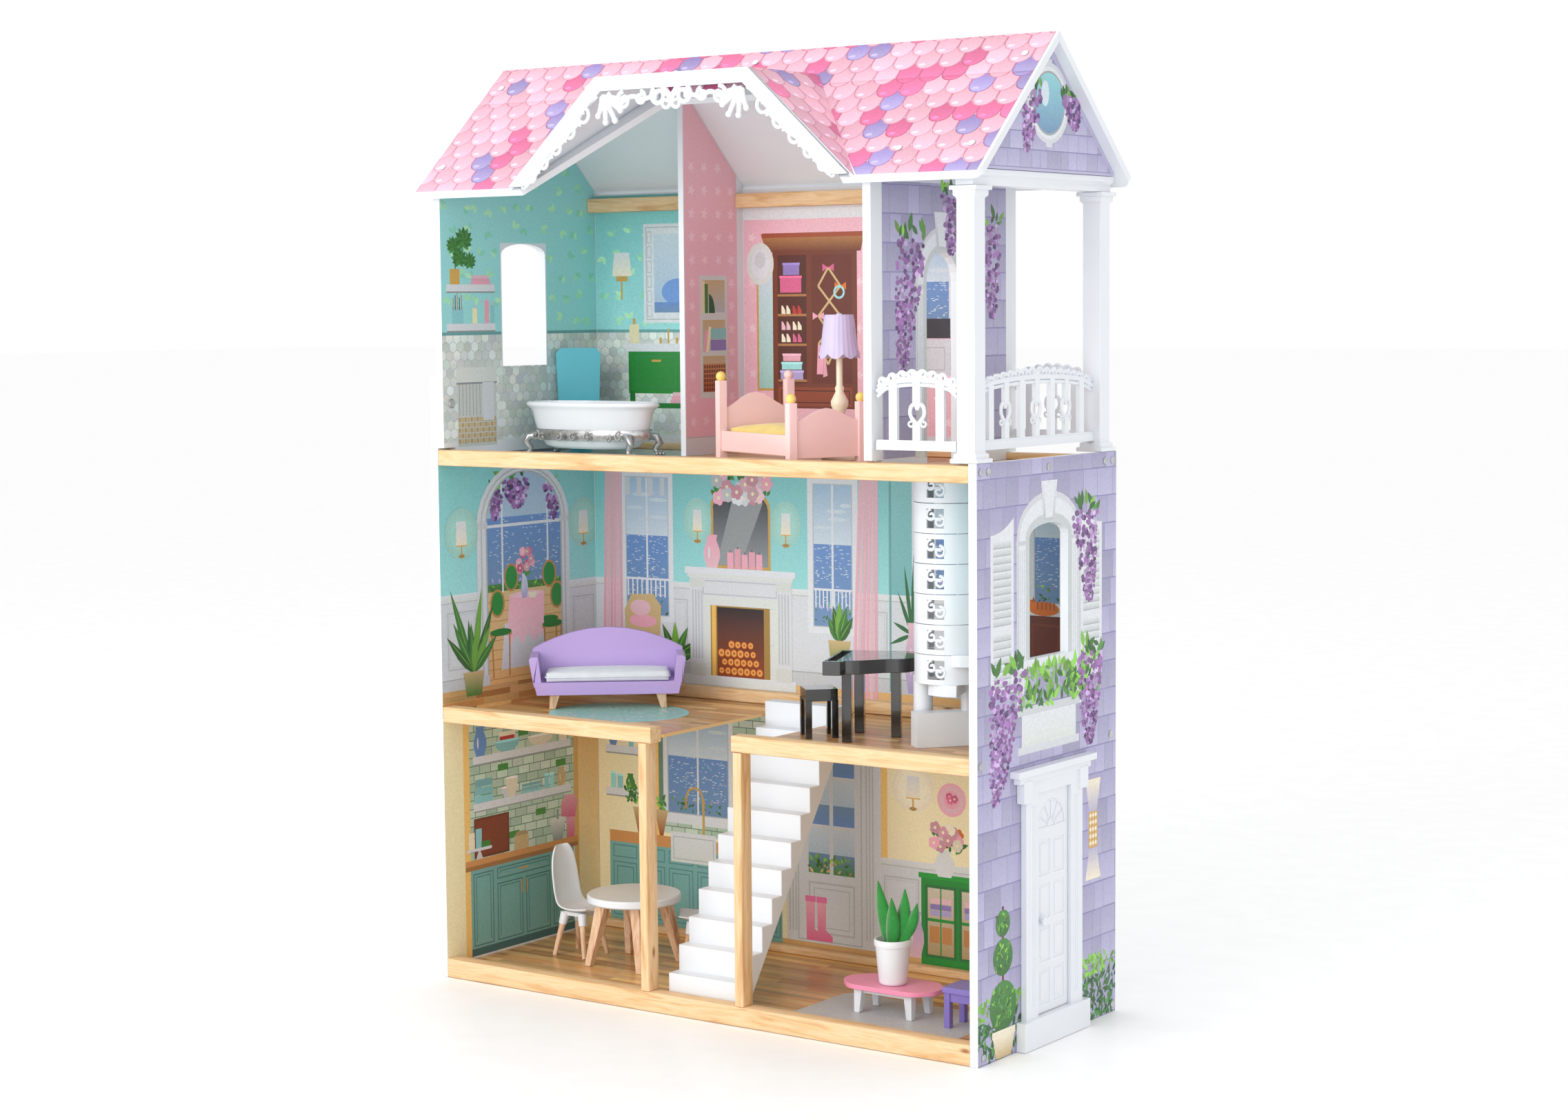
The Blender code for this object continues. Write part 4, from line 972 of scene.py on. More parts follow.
def roof_scales(art, u0, u1, length, regions):
    """Round-ended tiles in rows up a slope, kept to convex regions given as rings of corners."""
    rows = math.ceil(length / SCALE_ROW) + 1
    for row in range(rows):
        low = row * SCALE_ROW - 8
        shift = SCALE_WIDE / 2 if row % 2 else 0
        for column in range(math.ceil((u1 - u0) / SCALE_WIDE) + 2):
            u = u0 - SCALE_WIDE / 2 + column * SCALE_WIDE - shift
            pick = art.dice.random()
            foot, head = ("lavender", "lilac")
            if pick < 0.88:
                foot, head = ("roof pink", "pink") if pick < 0.74 else ("hot pink", "rose")
            light = art.dice.uniform(0.92, 1.04)
            for inset, pair in ((0.0, (head, "rose")), (1.3, (foot, head))):
                half = SCALE_WIDE / 2 - inset
                tile = oval(u, low + inset + 14, half, 14, 180, 360, 10)
                tile += [(u + half, low + SCALE_HIGH), (u - half, low + SCALE_HIGH)]
                for region in regions:
                    piece = tile
                    for a, b in zip(region, region[1:] + region[:1]):
                        piece = cut(piece, a, b) if piece else []
                    art.fill(piece, pair[0], pair[1], light * (0.93 if inset == 0 else 1.0))
            shine = oval(u - 5, low + 8, 5, 2.6, count=8)
            if any(whole(shine, region) for region in regions):
                art.fill(shine, foot, light=1.12)


def slope_place(side):
    """Places a picture on a roof slope, by X and the distance up from the eave."""
    low, high = span("roof_front")
    length = (high.y - low.y) / math.cos(ROOF_PITCH)
    foot = high.z - length * math.sin(ROOF_PITCH)

    def place(x, v, lift):
        y = low.y + v * math.cos(ROOF_PITCH) - lift * math.sin(ROOF_PITCH)
        z = foot + v * math.sin(ROOF_PITCH) + lift * math.cos(ROOF_PITCH)
        return house(x, y if side < 0 else DEPTH - y, z)
    return place, length, (0, side * math.sin(ROOF_PITCH), math.cos(ROOF_PITCH))


def roof_prints():
    """Tiles on both slopes, on the dormer's cheeks and on its top, and the screw caps among them."""
    low, high = span("roof_front")
    middle, edge = 415.0, 4.0
    left, right = low.x + edge, high.x - edge
    for side, name in ((-1, "front"), (1, "back")):
        place, length, normal = slope_place(side)
        art = Print(f"print_roof_{name}", place, normal)
        head = length - 1
        if side < 0:
            # The front slope is cut out under the dormer: half widths at the eave and at the top of the cut.
            wide, narrow, tall = 262.0, 121.0, 176.0
            regions = [[(left, edge), (middle - wide, edge), (middle - narrow, tall), (left, tall)],
                       [(middle + wide, edge), (right, edge), (right, tall), (middle + narrow, tall)],
                       rect(left, tall, right, head)]
        else:
            regions = [rect(left, edge, right, head)]
        roof_scales(art, left, right, length, regions)
        art.build()
    caps = []
    place, length, normal = slope_place(-1)
    for x, v in ((12, 50), (15, 207), (420, 225), (813, 50), (815, 208), (716, 47)):
        cap = turned([(4.2, 1.2), (4.2, 1.9), (2.6, 2.9)], 20)
        caps.append(stood(cap, (place(x, v, 0) - CORNER) / MM, ROOF_PITCH, "X"))
    solid("roof_caps", caps, paint("white", 0.3), "house")

    # The dormer: its two cheeks run back to the roof, and its top is flat.
    cheek_low, cheek_high = span("dormer_right_cheek")
    top_low, top_high = span("dormer_top")
    run, rise = cheek_high.x - top_high.x, top_high.z - cheek_low.z
    reach = math.hypot(run, rise)
    front, back = top_low.y, top_high.y
    eave_y, eave_z = low.y, high.z - (high.y - low.y) * math.tan(ROOF_PITCH)
    for hand, name in ((-1, "left"), (1, "right")):
        def place(y, v, lift, hand=hand):
            x = cheek_high.x - run * v / reach + lift * rise / reach
            return house(middle + hand * (x - middle), y, cheek_low.z + rise * v / reach + lift * run / reach)

        def meets(z):
            return eave_y + (z - eave_z) / math.tan(ROOF_PITCH)

        art = Print(f"print_dormer_{name}", place, (hand * rise / reach, 0, run / reach))
        start = max(0.0, (eave_z + 2 - cheek_low.z) / rise * reach)
        region = [(front, start), (meets(eave_z + 2), start), (meets(top_high.z) - 0.5, reach),
                  (front, reach)]
        roof_scales(art, front, back, reach, [region])
        art.build()
    art = Print("print_dormer_top", on_floor(top_high.z), (0, 0, 1))
    region = rect(top_low.x, front, top_high.x, back - 1)
    roof_scales(art, top_low.x, top_high.x, back - front, [region])
    art.build()


def shingled(art, windows, wide=33.0, high=34.0):
    """Lavender shingles with a dark line under each row."""
    for window in windows:
        art.fill(rect(*window), "shingle dark")
    for window in windows:
        for row in range(math.floor(window[1] / high), math.ceil(window[3] / high)):
            low = row * high
            dice = random.Random(row)
            left = -dice.uniform(0, wide)
            while left < DEPTH:
                reach = wide * dice.uniform(0.6, 1.25)
                drop = dice.uniform(0, 1.6)
                light = dice.uniform(0.92, 1.05)
                tile = rect(left, low + 1.6 - drop * 0.4, left + reach - 0.8, low + high - 0.4)
                art.fill(clipped(tile, window), "shingle", "shingle top", light)
                left += reach


def stone_arch(art, u0, u1, foot, spring, rise, wide, crown, pilaster_foot):
    """A white surround: fluted pilasters, an arch with a shaded edge and a keystone."""
    inner = archway(u0, u1, foot, spring, rise)
    for out, colour, light in ((wide, "white", 0.93), (wide * 0.8, "white", 1.0),
                               (wide * 0.3, "shade", 1.04)):
        outer = archway(u0 - out, u1 + out, pilaster_foot if out > wide * 0.5 else foot, spring,
                        rise + out * 1.25)
        art.band(outer, inner, colour, light)
    for side in (u0 - wide, u1 + wide * 0.3):
        for flute in range(4):
            at = side + (flute + 0.8) * wide * 0.7 / 4.6
            art.box(at, pilaster_foot + 14, at + 1.1, spring - 14, "shade")
        art.box(side - 2, spring - 8, side + wide * 0.7 + 2, spring - 3, "white", light=0.9)
        art.box(side - 2, pilaster_foot, side + wide * 0.7 + 2, pilaster_foot + 9, "pearl")
    middle, top = (u0 + u1) / 2, spring + rise
    art.fill([(middle - 12, top + 3), (middle + 12, top + 3), (middle + 19, crown), (middle - 19, crown)],
             "shade", "white")
    art.fill([(middle - 8, top + 6), (middle + 8, top + 6), (middle + 13, crown - 4),
              (middle - 13, crown - 4)], "white")


def outside_prints():
    """Shingles, windows and flowers on the right wall, the balcony's wall and the gable."""
    wall_top = span("right_wall")[1].z
    art = Print("print_right_wall", on_left(RIGHT), (1, 0, 0), window=(0, 0, DEPTH, wall_top))
    # Shingles everywhere but the window and the door's frame.
    shingled(art, ((0, 0, 98, 699), (230, 0, 328, 699), (98, 322, 230, 462), (98, 462, 116, 699),
                   (212, 462, 230, 699), (116, 622, 212, 699)))
    for u in (30, 240):
        louvres(art, u, u + 52, 430, 615, rising=u < 100)
    stone_arch(art, 118.5, 209.5, 463, 607, 15, 30, 672, 398)
    art.box(95, 452, 233, 462, "white")
    art.box(90, 398, 238, 408, "white", light=0.92)
    art.box(100, 360, 228, 398, "pearl", "white")
    art.box(92, 352, 236, 361, "white", light=0.96)
    art.bush(98, 402, 278, 452, 190, 15, ["leaf", "bright leaf", "bright leaf", "moss"], ["bright leaf"])
    art.wisteria(70, 452, 40, 300, 74, 170)
    art.wisteria(262, 458, 262, 345, 62, 120)
    art.wisteria(250, 632, 262, 520, 58, 120)
    # The garden at the wall's foot: a clipped hedge, and three balls on a stem in a pot.
    art.bush(-2, -2, 92, 70, 240, 11, ["moss", "leaf", "dark leaf"], ["bright leaf"])
    art.bush(238, -2, 326, 76, 230, 11, ["moss", "leaf", "dark leaf"], ["bright leaf"])
    art.box(54, 20, 58, 180, "dark wood")
    for v, radius in ((62, 30), (120, 22), (160, 16)):
        art.fill(oval(56, v, radius, count=26), "moss", "leaf")
        art.bush(56 - radius * 0.7, v - radius * 0.8, 56 + radius * 0.7, v + radius * 0.6,
                 int(radius * 3), 7, ["leaf", "moss", "bright leaf"])
    art.fill([(40, 1), (74, 1), (82, 26), (33, 26)], "straw", "cream")
    art.box(31, 26, 84, 34, "cream")
    # A brass lamp with light above and below it.
    art.fill([(262, 260), (280, 260), (290, 300), (252, 300)], "shingle", "cream")
    art.fill([(252, 176), (290, 176), (280, 216), (262, 216)], "cream", "shingle")
    art.box(260, 215, 282, 260, "gold")
    for number in range(5):
        for column in range(3):
            u, v = 261.5 + column * 6.6, 217 + number * 8.6
            art.fill([(u + 3, v), (u + 6, v + 3.8), (u + 3, v + 7.6), (u, v + 3.8)], "cream")
    art.build()

    art = Print("print_balcony_wall", on_left(BALCONY), (1, 0, 0))
    foot = WALL_FOOT - 4
    wall_top = span("crossbar_left")[1].z
    shingled(art, ((24, foot + 14, 119, wall_top - 4), (193, foot + 14, 304, wall_top - 4),
                   (119, 945, 193, wall_top - 4)))
    stone_arch(art, 120, 192, foot + 12, 907, 36, 24, 990, foot + 12)
    art.wisteria(88, 958, 66, 800, 62, 150)
    art.wisteria(178, 1012, 176, 940, 44, 80)
    art.wisteria(262, 978, 272, 862, 52, 110)
    art.build()

    art = Print("print_gable", on_left(span("gable_panel")[1].x), (1, 0, 0))
    base, top = span("gable_panel")[0].z + 3, span("gable_panel")[1].z - 10
    half, eye, course = DEPTH / 2, 1113, 21  # the round window's middle, and a row of shingles
    left, right, point = (14, base), (DEPTH - 14, base), (half, top)
    for row in range(9):
        low = base + row * course
        edge = rect(0, low, DEPTH, low + course)
        art.fill(triangle(edge, left, right, point), "shingle dark")
        at = -art.dice.uniform(0, 20)
        while at < DEPTH:
            reach = art.dice.uniform(16, 34)
            tile = rect(at, low + 1, at + reach - 0.8, low + 20.6)
            art.fill(triangle(tile, left, right, point), "shingle", "shingle top",
                     art.dice.uniform(0.92, 1.06))
            at += reach
    art.fill(oval(half, eye, 47, count=40), "white", light=0.94)
    for number in range(4):
        a = math.pi / 2 * number
        u, v = half + 44 * math.cos(a), eye + 44 * math.sin(a)
        art.box(u - 7, v - 7, u + 7, v + 7, "white", light=0.94)
    art.fill(oval(half, eye, 42, count=40), "white")
    art.fill(oval(half, eye, 37.5, count=40), "shade", light=0.85)
    art.fill(oval(half, eye, 35, count=40), "sea", "aqua")
    art.fill(oval(half - 9, 1124, 9, 15, count=20), "foam")
    art.wisteria(128, 1128, 112, 1056, 42, 80)
    art.wisteria(212, 1122, 226, 1084, 40, 60)
    art.build()


def triangle(points, left, right, point):
    for a, b in ((left, right), (right, point), (point, left)):
        points = cut(points, a, b) if points else []
    return points


def louvres(art, u0, u1, foot, head, rising):
    """A shutter with slats; its top curves up towards the window."""
    steps = 8
    def top(share):
        swell = share if rising else 1 - share
        return head + 18 * swell ** 2
    crown = [(u0 + (u1 - u0) * (1 - i / steps), top(1 - i / steps)) for i in range(steps + 1)]
    art.fill([(u0, foot), (u1, foot), *crown], "white")
    for number in range(int((head - foot - 12) / 9)):
        v = foot + 8 + number * 9
        if abs(v - (foot + head) / 2 + 20) > 7:
            art.box(u0 + 6, v, u1 - 6, v + 7.4, "shade", "white")
            art.box(u0 + 6, v - 1.0, u1 - 6, v, "grey", light=1.12)


def wainscot(art, u0, u1, floor, rail, insets, skirting=18):
    """White panelling under a chair rail, with a skirting board below."""
    art.box(u0, floor, u1, rail + 8, "white", light=0.96)
    for left, low, right, high in insets:
        art.frame(left, low, right, high, 2.2, "shade")
        art.frame(left + 4, low + 4, right - 4, high - 4, 1.2, "shade", 1.05)
    art.box(u0, rail, u1, rail + 8, "pearl", "white")
    art.box(u0, rail - 1.5, u1, rail, "shade")
    art.box(u0, floor, u1, floor + skirting, "white", light=0.9)
    art.box(u0, floor + skirting, u1, floor + skirting + 1.4, "shade", light=0.9)


BOARDS = ("plank", "plank", "wood", (224, 176, 120), (204, 148, 90))
TILES = ("tile", (206, 226, 206), (186, 210, 188), (214, 228, 214), (178, 206, 184))


def shelf_row(art, u0, u1, v, things):
    """A shelf with things that stand on it: (kind, u, wide, tall, ink)."""
    art.box(u0, v - 10, u1, v, "white")
    art.box(u0, v - 12, u1, v - 10, "shade", light=0.85)
    for kind, u, wide, tall, colour in things:
        if kind == "pot":
            art.pot(u, v, v + tall, wide, colour)
        elif kind == "bowl":
            side = [(wide * 0.2, v), (wide * 0.4, v + tall * 0.4), (wide * 0.5, v + tall)]
            art.fill([(u + x, z) for x, z in side] + [(u - x, z) for x, z in reversed(side)], colour,
                     light=0.95)
            art.fill(oval(u, v + tall, wide / 2, 1.8, count=14), colour, light=1.15)
        elif kind == "stack":
            for level in range(3):
                low = v + tall * level / 3
                art.box(u - wide / 2 + level, low, u + wide / 2 - level, low + tall / 3 - 1, colour,
                        light=1 - 0.07 * level)
        else:
            art.box(u - wide / 2, v, u + wide / 2, v + tall, colour, light=1.0)
            art.box(u - wide / 2, v + tall * 0.86, u + wide / 2, v + tall, colour, light=1.18)


def left_ground():
    """The kitchen's side wall: tiles and shelves over a counter and its cabinets."""
    head = MID - 5
    counter, slab_foot = 147, 139  # the worktop's upper and lower edges
    art = Print("print_kitchen_side", on_left(LEFT), (1, 0, 0), window=(0, 2, BACK, head))
    art.box(0, 2, 50, head, "yellow", "yellow")
    art.box(38, 2, 50, head, "amber", light=1.1)
    art.box(266, 2, BACK, head, "yellow", "amber")
    art.box(266, 2, 276, head, "amber", light=0.95)
    art.box(50, slab_foot, 266, head, "grout")
    art.bricks((50, counter, 266, head), 23, 11.5, TILES, 1.2)
    for u, v in ((184, 188), (107, 260), (128, 165), (150, 302), (72, 230), (228, 250), (240, 306),
                 (96, 190)):
        art.box(u, v, u + 21, v + 9, "leaf", light=1.05)
    shelf_row(art, 57, 260, 285, (("pot", 72, 26, 40, "blue"), ("bowl", 127, 54, 14, "aqua"),
                                  ("bowl", 197, 56, 13, "cream"), ("jar", 244, 16, 24, "cream")))
    art.box(112, 301, 142, 306, "red")
    art.box(110, 306, 144, 312, "cream")
    shelf_row(art, 57, 260, 222, (("stack", 78, 38, 33, "aqua"), ("bowl", 130, 36, 14, "white"),
                                  ("bowl", 135, 26, 26, "cream"), ("stack", 176, 44, 14, "aqua"),
                                  ("jar", 208, 9, 21, "aqua"), ("jar", 219, 9, 21, "teal"),
                                  ("pot", 240, 18, 26, "straw")))
    # On the counter: a cutting board, a cake stand, a plate and a pink mixer.
    art.box(57, 148, 128, 202, "dark wood")
    art.box(60, 151, 125, 199, "dark wood", light=1.15)
    art.box(42, 158, 92, 162, "white")
    art.fill([(60, counter), (74, counter), (69, 158), (65, 158)], "white", light=0.93)
    for u, wide, tall, colour in ((52, 12, 22, "cream"), (66, 12, 26, "aqua"), (80, 18, 8, "leaf")):
        art.box(u - wide / 2, 162, u + wide / 2, 162 + tall, colour)
    art.fill(oval(116, 143, 20, 3, count=16), "aqua")
    art.box(138, 143, 168, 166, "straw")
    art.fill([(138, 166), (144, 172), (162, 172), (168, 166)], "straw", light=0.86)
    art.box(215, slab_foot, 268, counter, "rose")
    art.fill([(250, 145), (266, 145), (268, 180), (248, 180)], "rose", "pink")
    art.fill([(238, 178), (268, 174), (274, 196), (266, 206), (246, 208), (238, 198)], "rose", "pink")
    art.fill([(220, counter), (240, counter), (246, 176), (214, 176)], "grey", "pearl")
    art.fill(oval(230, 176, 16, 3, count=14), "pearl")
    art.box(228, 176, 232, 190, "grey")
    art.box(39, slab_foot, 273, counter, "wood", light=1.1)
    art.box(39, 133, 273, slab_foot, "wood", light=0.86)
    # Cabinets under the counter.
    art.box(49, 17, 264, 133, "cabinet")
    art.box(49, 17, 264, 27, "cabinet dark", light=0.8)
    for u0, v0, u1, v1 in ((54, 30, 94, 128), (102, 30, 154, 108), (161, 30, 212, 108), (102, 114, 212, 129),
                           (219, 30, 260, 128)):
        art.frame(u0, v0, u1, v1, 1.4, "cabinet dark", 0.8)
        art.frame(u0 + 5, v0 + 4, u1 - 5, v1 - 4, 1.6, "cabinet dark")
        art.box(u0 + 5, v0 + 4, u1 - 5, v0 + 5.5, "mint", light=0.85)
    for u, v in ((151, 86), (162, 86)):
        art.box(u, v, u + 2.4, v + 19, "gold")
    art.box(148, 120, 166, 122.5, "gold")
    art.build()


def chair_picture(art, u, seat, floor, back_u, back_v):
    """A painted chair: an oval green back with a wooden rim, a green seat and curved legs."""
    for leg_u in (u - 18, u + 18):
        art.fill([(leg_u - 1.5, seat), (leg_u + 1.5, seat), (leg_u * 0.9 + u * 0.1 + 2, floor),
                  (leg_u * 0.9 + u * 0.1 - 0.5, floor)], "wood", light=0.95)
    art.fill(oval(back_u, back_v, 15, 19, count=24), "wood")
    art.fill(oval(back_u, back_v, 12, 16, count=24), "vivid green", light=0.95)
    art.box(u - 22, seat - 4, u + 22, seat, "wood")
    art.fill(oval(u, seat + 1, 22, 5, count=18), "vivid green", light=0.85)


def left_mid():
    """The parlour's side wall: an arch with the sea behind a tea table."""
    floor, left, right = 378, 93, 245  # the skirting's foot, and the opening's sides
    head = UPPER - 5
    art = Print("print_parlour_side", on_left(LEFT), (1, 0, 0), window=(0, MID - 4, BACK, head))
    art.box(0, 505, BACK, head, "teal", "deep teal")
    art.box(0, MID - 4, BACK, floor, "plank")
    art.planks((0, MID - 4, BACK, floor), 9, BOARDS, 70)
    wainscot(art, 0, BACK, floor, 495, ((12, 405, 70, 482), (270, 405, 316, 482)), 14)
    # A round-headed opening on to the sea, with a terrace floor.
    outer, inner = archway(72, 264, floor, 590, 84), archway(left, right, floor, 596, 64)
    art.fill(inner, "foam", "sky")
    art.box(left, 512, right, 601, "sea", "blue")
    art.box(left, 500, right, 512, "moss", "leaf")
    art.box(left, floor, right, 502, "plank", "straw", 1.04)
    for _ in range(130):
        u, v = art.dice.uniform(95, 240), art.dice.uniform(520, 599)
        art.box(u, v, u + 4, v + 0.9, "foam")
    for number in range(9):
        art.box(left, 384 + number * 13, right, 385 + number * 13, "wood")
    art.bush(95, 502, 243, 514, 60, 7, ["moss", "leaf", "bright leaf"], ["lavender"])
    for u in (122, 216):
        art.box(u, 500, u + 3.4, 648, "white")
    art.box(left, 588, right, 592, "white")
    art.wisteria(150, 652, 156, 612, 60, 70)
    art.wisteria(112, 640, 110, 598, 26, 40)
    art.wisteria(228, 640, 232, 592, 28, 40)
    # The table, its cloth and flowers, with four chairs about it.
    chair_picture(art, 146, 452, 402, 141, 519)
    chair_picture(art, 216, 455, 402, 220, 518)
    art.fill([(118, 396), (215, 396), (207, 458), (126, 458)], "white", light=0.97)
    art.fill([(130, 440), (138, 428), (150, 440), (162, 426), (174, 440), (188, 428), (200, 440), (206, 430),
              (209, 494), (137, 494)][::-1], "blush", "pink", 1.08)
    art.fill(oval(172, 494, 36, 4.5, count=24), "blush", light=1.05)
    art.pot(168, 489, 522, 15, "lavender", "foam")
    art.bush(158, 515, 178, 530, 14, 10, ["leaf"])
    art.flowers(155, 525, 188, 556, 14, 7, ["pink", "cloth pink", "rose"])
    art.fill([(178, 488), (192, 488), (194, 496), (176, 496)], "cream")
    chair_picture(art, 118, 446, 386, 112, 486)
    chair_picture(art, 226, 448, 388, 236, 488)
    art.band(outer, inner, "white", 0.98)
    ring = archway(80, 256, floor, 592, 76)
    art.band(ring, archway(83, 253, floor, 592, 73), "shade")
    art.band(archway(90, 248, floor, 595, 67), inner, "shade", 0.95)
    for u in (70, 243):
        art.box(u, 588, u + 24, 596, "white", light=0.92)
        art.box(u, floor, u + 24, 392, "white", light=0.94)
    art.sconce(42, 568, 601, 22, "mint")
    art.sconce(295, 567, 600, 22, "mint")
    potted_palm(art, 62, 368, 400, 41, ((18, 512), (53, 470), (80, 510), (58, 465), (103, 487), (67, 452),
                                        (23, 468), (10, 450), (97, 460), (110, 445)))
    art.build()


def potted_palm(art, u, foot, head, wide, tips):
    """Broad leaves that rise from a pot."""
    for number, (tip_u, tip_v) in enumerate(tips):
        art.fill(leaf((u, head - 3), (tip_u, tip_v), 13), ("leaf", "moss", "bright leaf")[number % 3],
                 light=0.92)
        art.fill(leaf((u, head), (u + (tip_u - u) * 0.92, head + (tip_v - head) * 0.92), 1.4), "bright leaf")
    art.fill([(u - wide * 0.36, foot), (u + wide * 0.36, foot), (u + wide / 2, head), (u - wide / 2, head)],
             "leaf", "straw")


def picture_window(art, u0, v0, u1, v1, frame_wide=8, bars=1):
    """A white-framed window on to the sea, with a railing across its foot."""
    art.box(u0, v0, u1, v1, "white")
    art.sea_view(u0 + frame_wide, v0 + frame_wide, u1 - frame_wide, v1 - frame_wide)
    for number in range(1, bars + 1):
        at = u0 + (u1 - u0) * number / (bars + 1)
        art.box(at - 1.6, v0, at + 1.6, v1, "white")
    edge = frame_wide - 1.5
    art.frame(u0 + edge, v0 + edge, u1 - edge, v1 - edge, 1.5, "shade")


def curtain(art, u0, u1, foot, head, flare=0):
    """A pink curtain in folds."""
    folds = 6
    wide = (u1 - u0) / folds
    for number in range(folds):
        left = u0 + number * wide
        art.fill([(left - flare * (1 - number / folds), foot),
                  (left + wide - flare * (1 - number / folds), foot),
                  (left + wide, head), (left, head)], ("cloth pink", "blush", "pink")[number % 3], "blush",
                 0.98)


def back_mid():
    """The parlour's back wall: windows and curtains on both sides of the fireplace, and a bay."""
    floor, lintel = 378, 655
    head = UPPER - 5
    art = Print("print_parlour_back", on_back(BACK), (0, -1, 0), window=(LEFT, MID + 1, RIGHT - 11.5, head))
    art.box(LEFT + 1, 500, 500, head, "teal", "deep teal", 0.98)
    art.box(500, 500, RIGHT - BOARD, head, "deep teal", "teal", 0.9)
    art.box(LEFT + 1, 366, RIGHT - BOARD, 377, "plank")
    panels = [(left, 405, right, 482) for left, right in
              ((146, 172), (456, 498), (562, 640), (660, 700), (715, 800))]
    wainscot(art, LEFT + 1, RIGHT - BOARD, 376, 497, panels)
    picture_window(art, 58, 448, 148, lintel, 9, 1)
    picture_window(art, 372, 448, 452, lintel, 10, 1)
    # The terrace's railing behind the panes, and the leaded lights over it.
    art.box(62, 505, 145, 508, "white")
    for number in range(10):
        art.box(68 + number * 8, 482, 70.5 + number * 8, 506, "white")
        art.box(384 + number * 6, 482, 386 + number * 6, 506, "white")
    art.box(382, 505, 442, 508, "white")
    for number in range(4):
        art.box(66 + number * 20, 622, 74 + number * 20, 646, "white", light=0.93)
    # Wicker chair with a pink cushion, and a leafy plant beside it.
    art.fill([(64, 400), (122, 400), (126, 470), (112, 486), (74, 484), (62, 462)], "straw")
    art.fill(oval(94, 448, 24, 9, count=20), "cloth pink")
    art.fill(oval(90, 466, 18, 11, count=20), "blush")
    curtain(art, 30, 60, 430, lintel, 6)
    curtain(art, 454, 484, 366, lintel, 12)
    potted_palm(art, 150, floor, 402, 30, ((112, 428), (128, 446), (150, 450), (172, 444), (190, 426),
                                           (118, 410), (186, 408)))
    potted_palm(art, 422, 404, 440, 36, ((404, 470), (412, 486), (422, 492), (434, 486), (444, 472)))
    fireplace(art)
    art.sconce(190, 575, 605, 16, "mint")
    art.sconce(337, 575, 605, 16, "mint")
    # The bay: a brown-framed window with a palm and a vase before it.
    art.box(501, floor, 504, head, "deep teal", light=0.8)
    picture_window(art, 536, 500, 640, lintel, 7, 2)
    picture_window(art, 712, 500, 800, lintel, 7, 1)
    for tip in ((506, 470), (514, 510), (524, 545), (540, 572), (556, 552), (564, 512), (570, 480),
                (500, 440)):
        art.fill(leaf((536, 455), tip, 6), "dark leaf", light=1.2)
    art.pot(539, floor, 470, 30, "lavender", "blush")
    # A cat asleep on a red cabinet.
    art.box(708, floor, 760, 490, "walnut", light=1.25)
    art.frame(714, 386, 754, 480, 3, "dark wood")
    art.fill(oval(732, 499, 22, 9, count=20), "ember", light=0.95)
    art.fill(oval(714, 503, 8, 7, count=14), "ember")
    for ear in (709, 717):
        art.fill([(ear - 3, 507), (ear + 3, 507), (ear, 514)], "ember", light=0.85)
    for stripe in range(5):
        art.box(722 + stripe * 6, 498, 724 + stripe * 6, 507, "brick")
    art.build()


def fireplace(art):
    """A white mantel on fluted pilasters, a marble surround, logs, and a mirror with lilies over it."""
    hearth, mantel = 378, 527
    art.box(176, hearth, 346, 520, "white", light=0.97)
    art.box(164, 366, 352, 380, "pearl", "white")
    art.box(168, 518, 352, mantel, "white")
    art.box(172, 513, 348, 518, "pearl")
    art.frame(198, 490, 322, 510, 1.8, "shade")
    art.box(200, 380, 325, 488, "pearl")
    for u in (178, 322):
        art.box(u - 2, hearth, u + 24, 396, "pearl", light=0.97)
        art.box(u - 2, 500, u + 24, 512, "pearl", light=0.97)
        for flute in range(4):
            art.box(u + 2 + flute * 5, 402, u + 4.4 + flute * 5, 496, "shade")
    for _ in range(14):
        u, v = art.dice.uniform(202, 318), art.dice.uniform(384, 482)
        art.fill([(u, v), (u + 5, v + 3), (u + 9, v + 2), (u + 5, v + 4)], "shade")
    art.box(211, 380, 310, 476, "gold", light=0.8)
    art.box(213, 380, 220, 476, "gold", light=1.15)
    art.box(222, 380, 300, 474, "brick", "night", 0.9)
    for row, (count, v) in enumerate(((7, 388), (6, 400), (6, 412), (4, 424))):
        for number in range(count):
            u = 229 + row % 2 * 5 + number * 10.6 + (row == 3) * 12
            radius = art.dice.uniform(5.4, 7.2)
            if u > 300:
                continue
            art.fill(oval(u, v, radius, count=14), "dark wood", light=1.1)
            art.fill(oval(u, v, radius * 0.84, count=14), "ember")
            art.fill(oval(u, v, radius * 0.62, count=14), "amber")
            art.fill(oval(u, v, radius * 0.36, count=12), "ember", light=0.9)
    mirror = [(213, mantel), (312, mantel), (312, 610), *oval(262, 610, 50, 28, 0, 180, 12), (213, 610)]
    art.fill(mirror, "gold")
    art.fill([(217, 531), (308, 531), (308, 608), *oval(262, 608, 46, 25, 0, 180, 12), (217, 608)], "grey",
             "charcoal", 1.0)
    art.fill([(222, 532), (262, 532), (300, 618), (252, 630)], "shade", light=0.8)
    art.pot(214, mantel, 572, 28, "blush", "cloth pink")
    for number, tall in enumerate((22, 27, 20, 24, 21)):
        u = 240 + number * 12
        art.box(u, mantel, u + 10, mantel + tall, "cloth pink", light=1 - 0.04 * (number % 2))
        art.box(u + 4.5, mantel + tall, u + 5.5, 530 + tall, "charcoal")
    art.bush(216, 614, 312, 650, 60, 13, ["leaf", "moss", "bright leaf"])
    art.flowers(220, 622, 308, 654, 22, 11, ["white", "blush", "cloth pink"], "yellow")


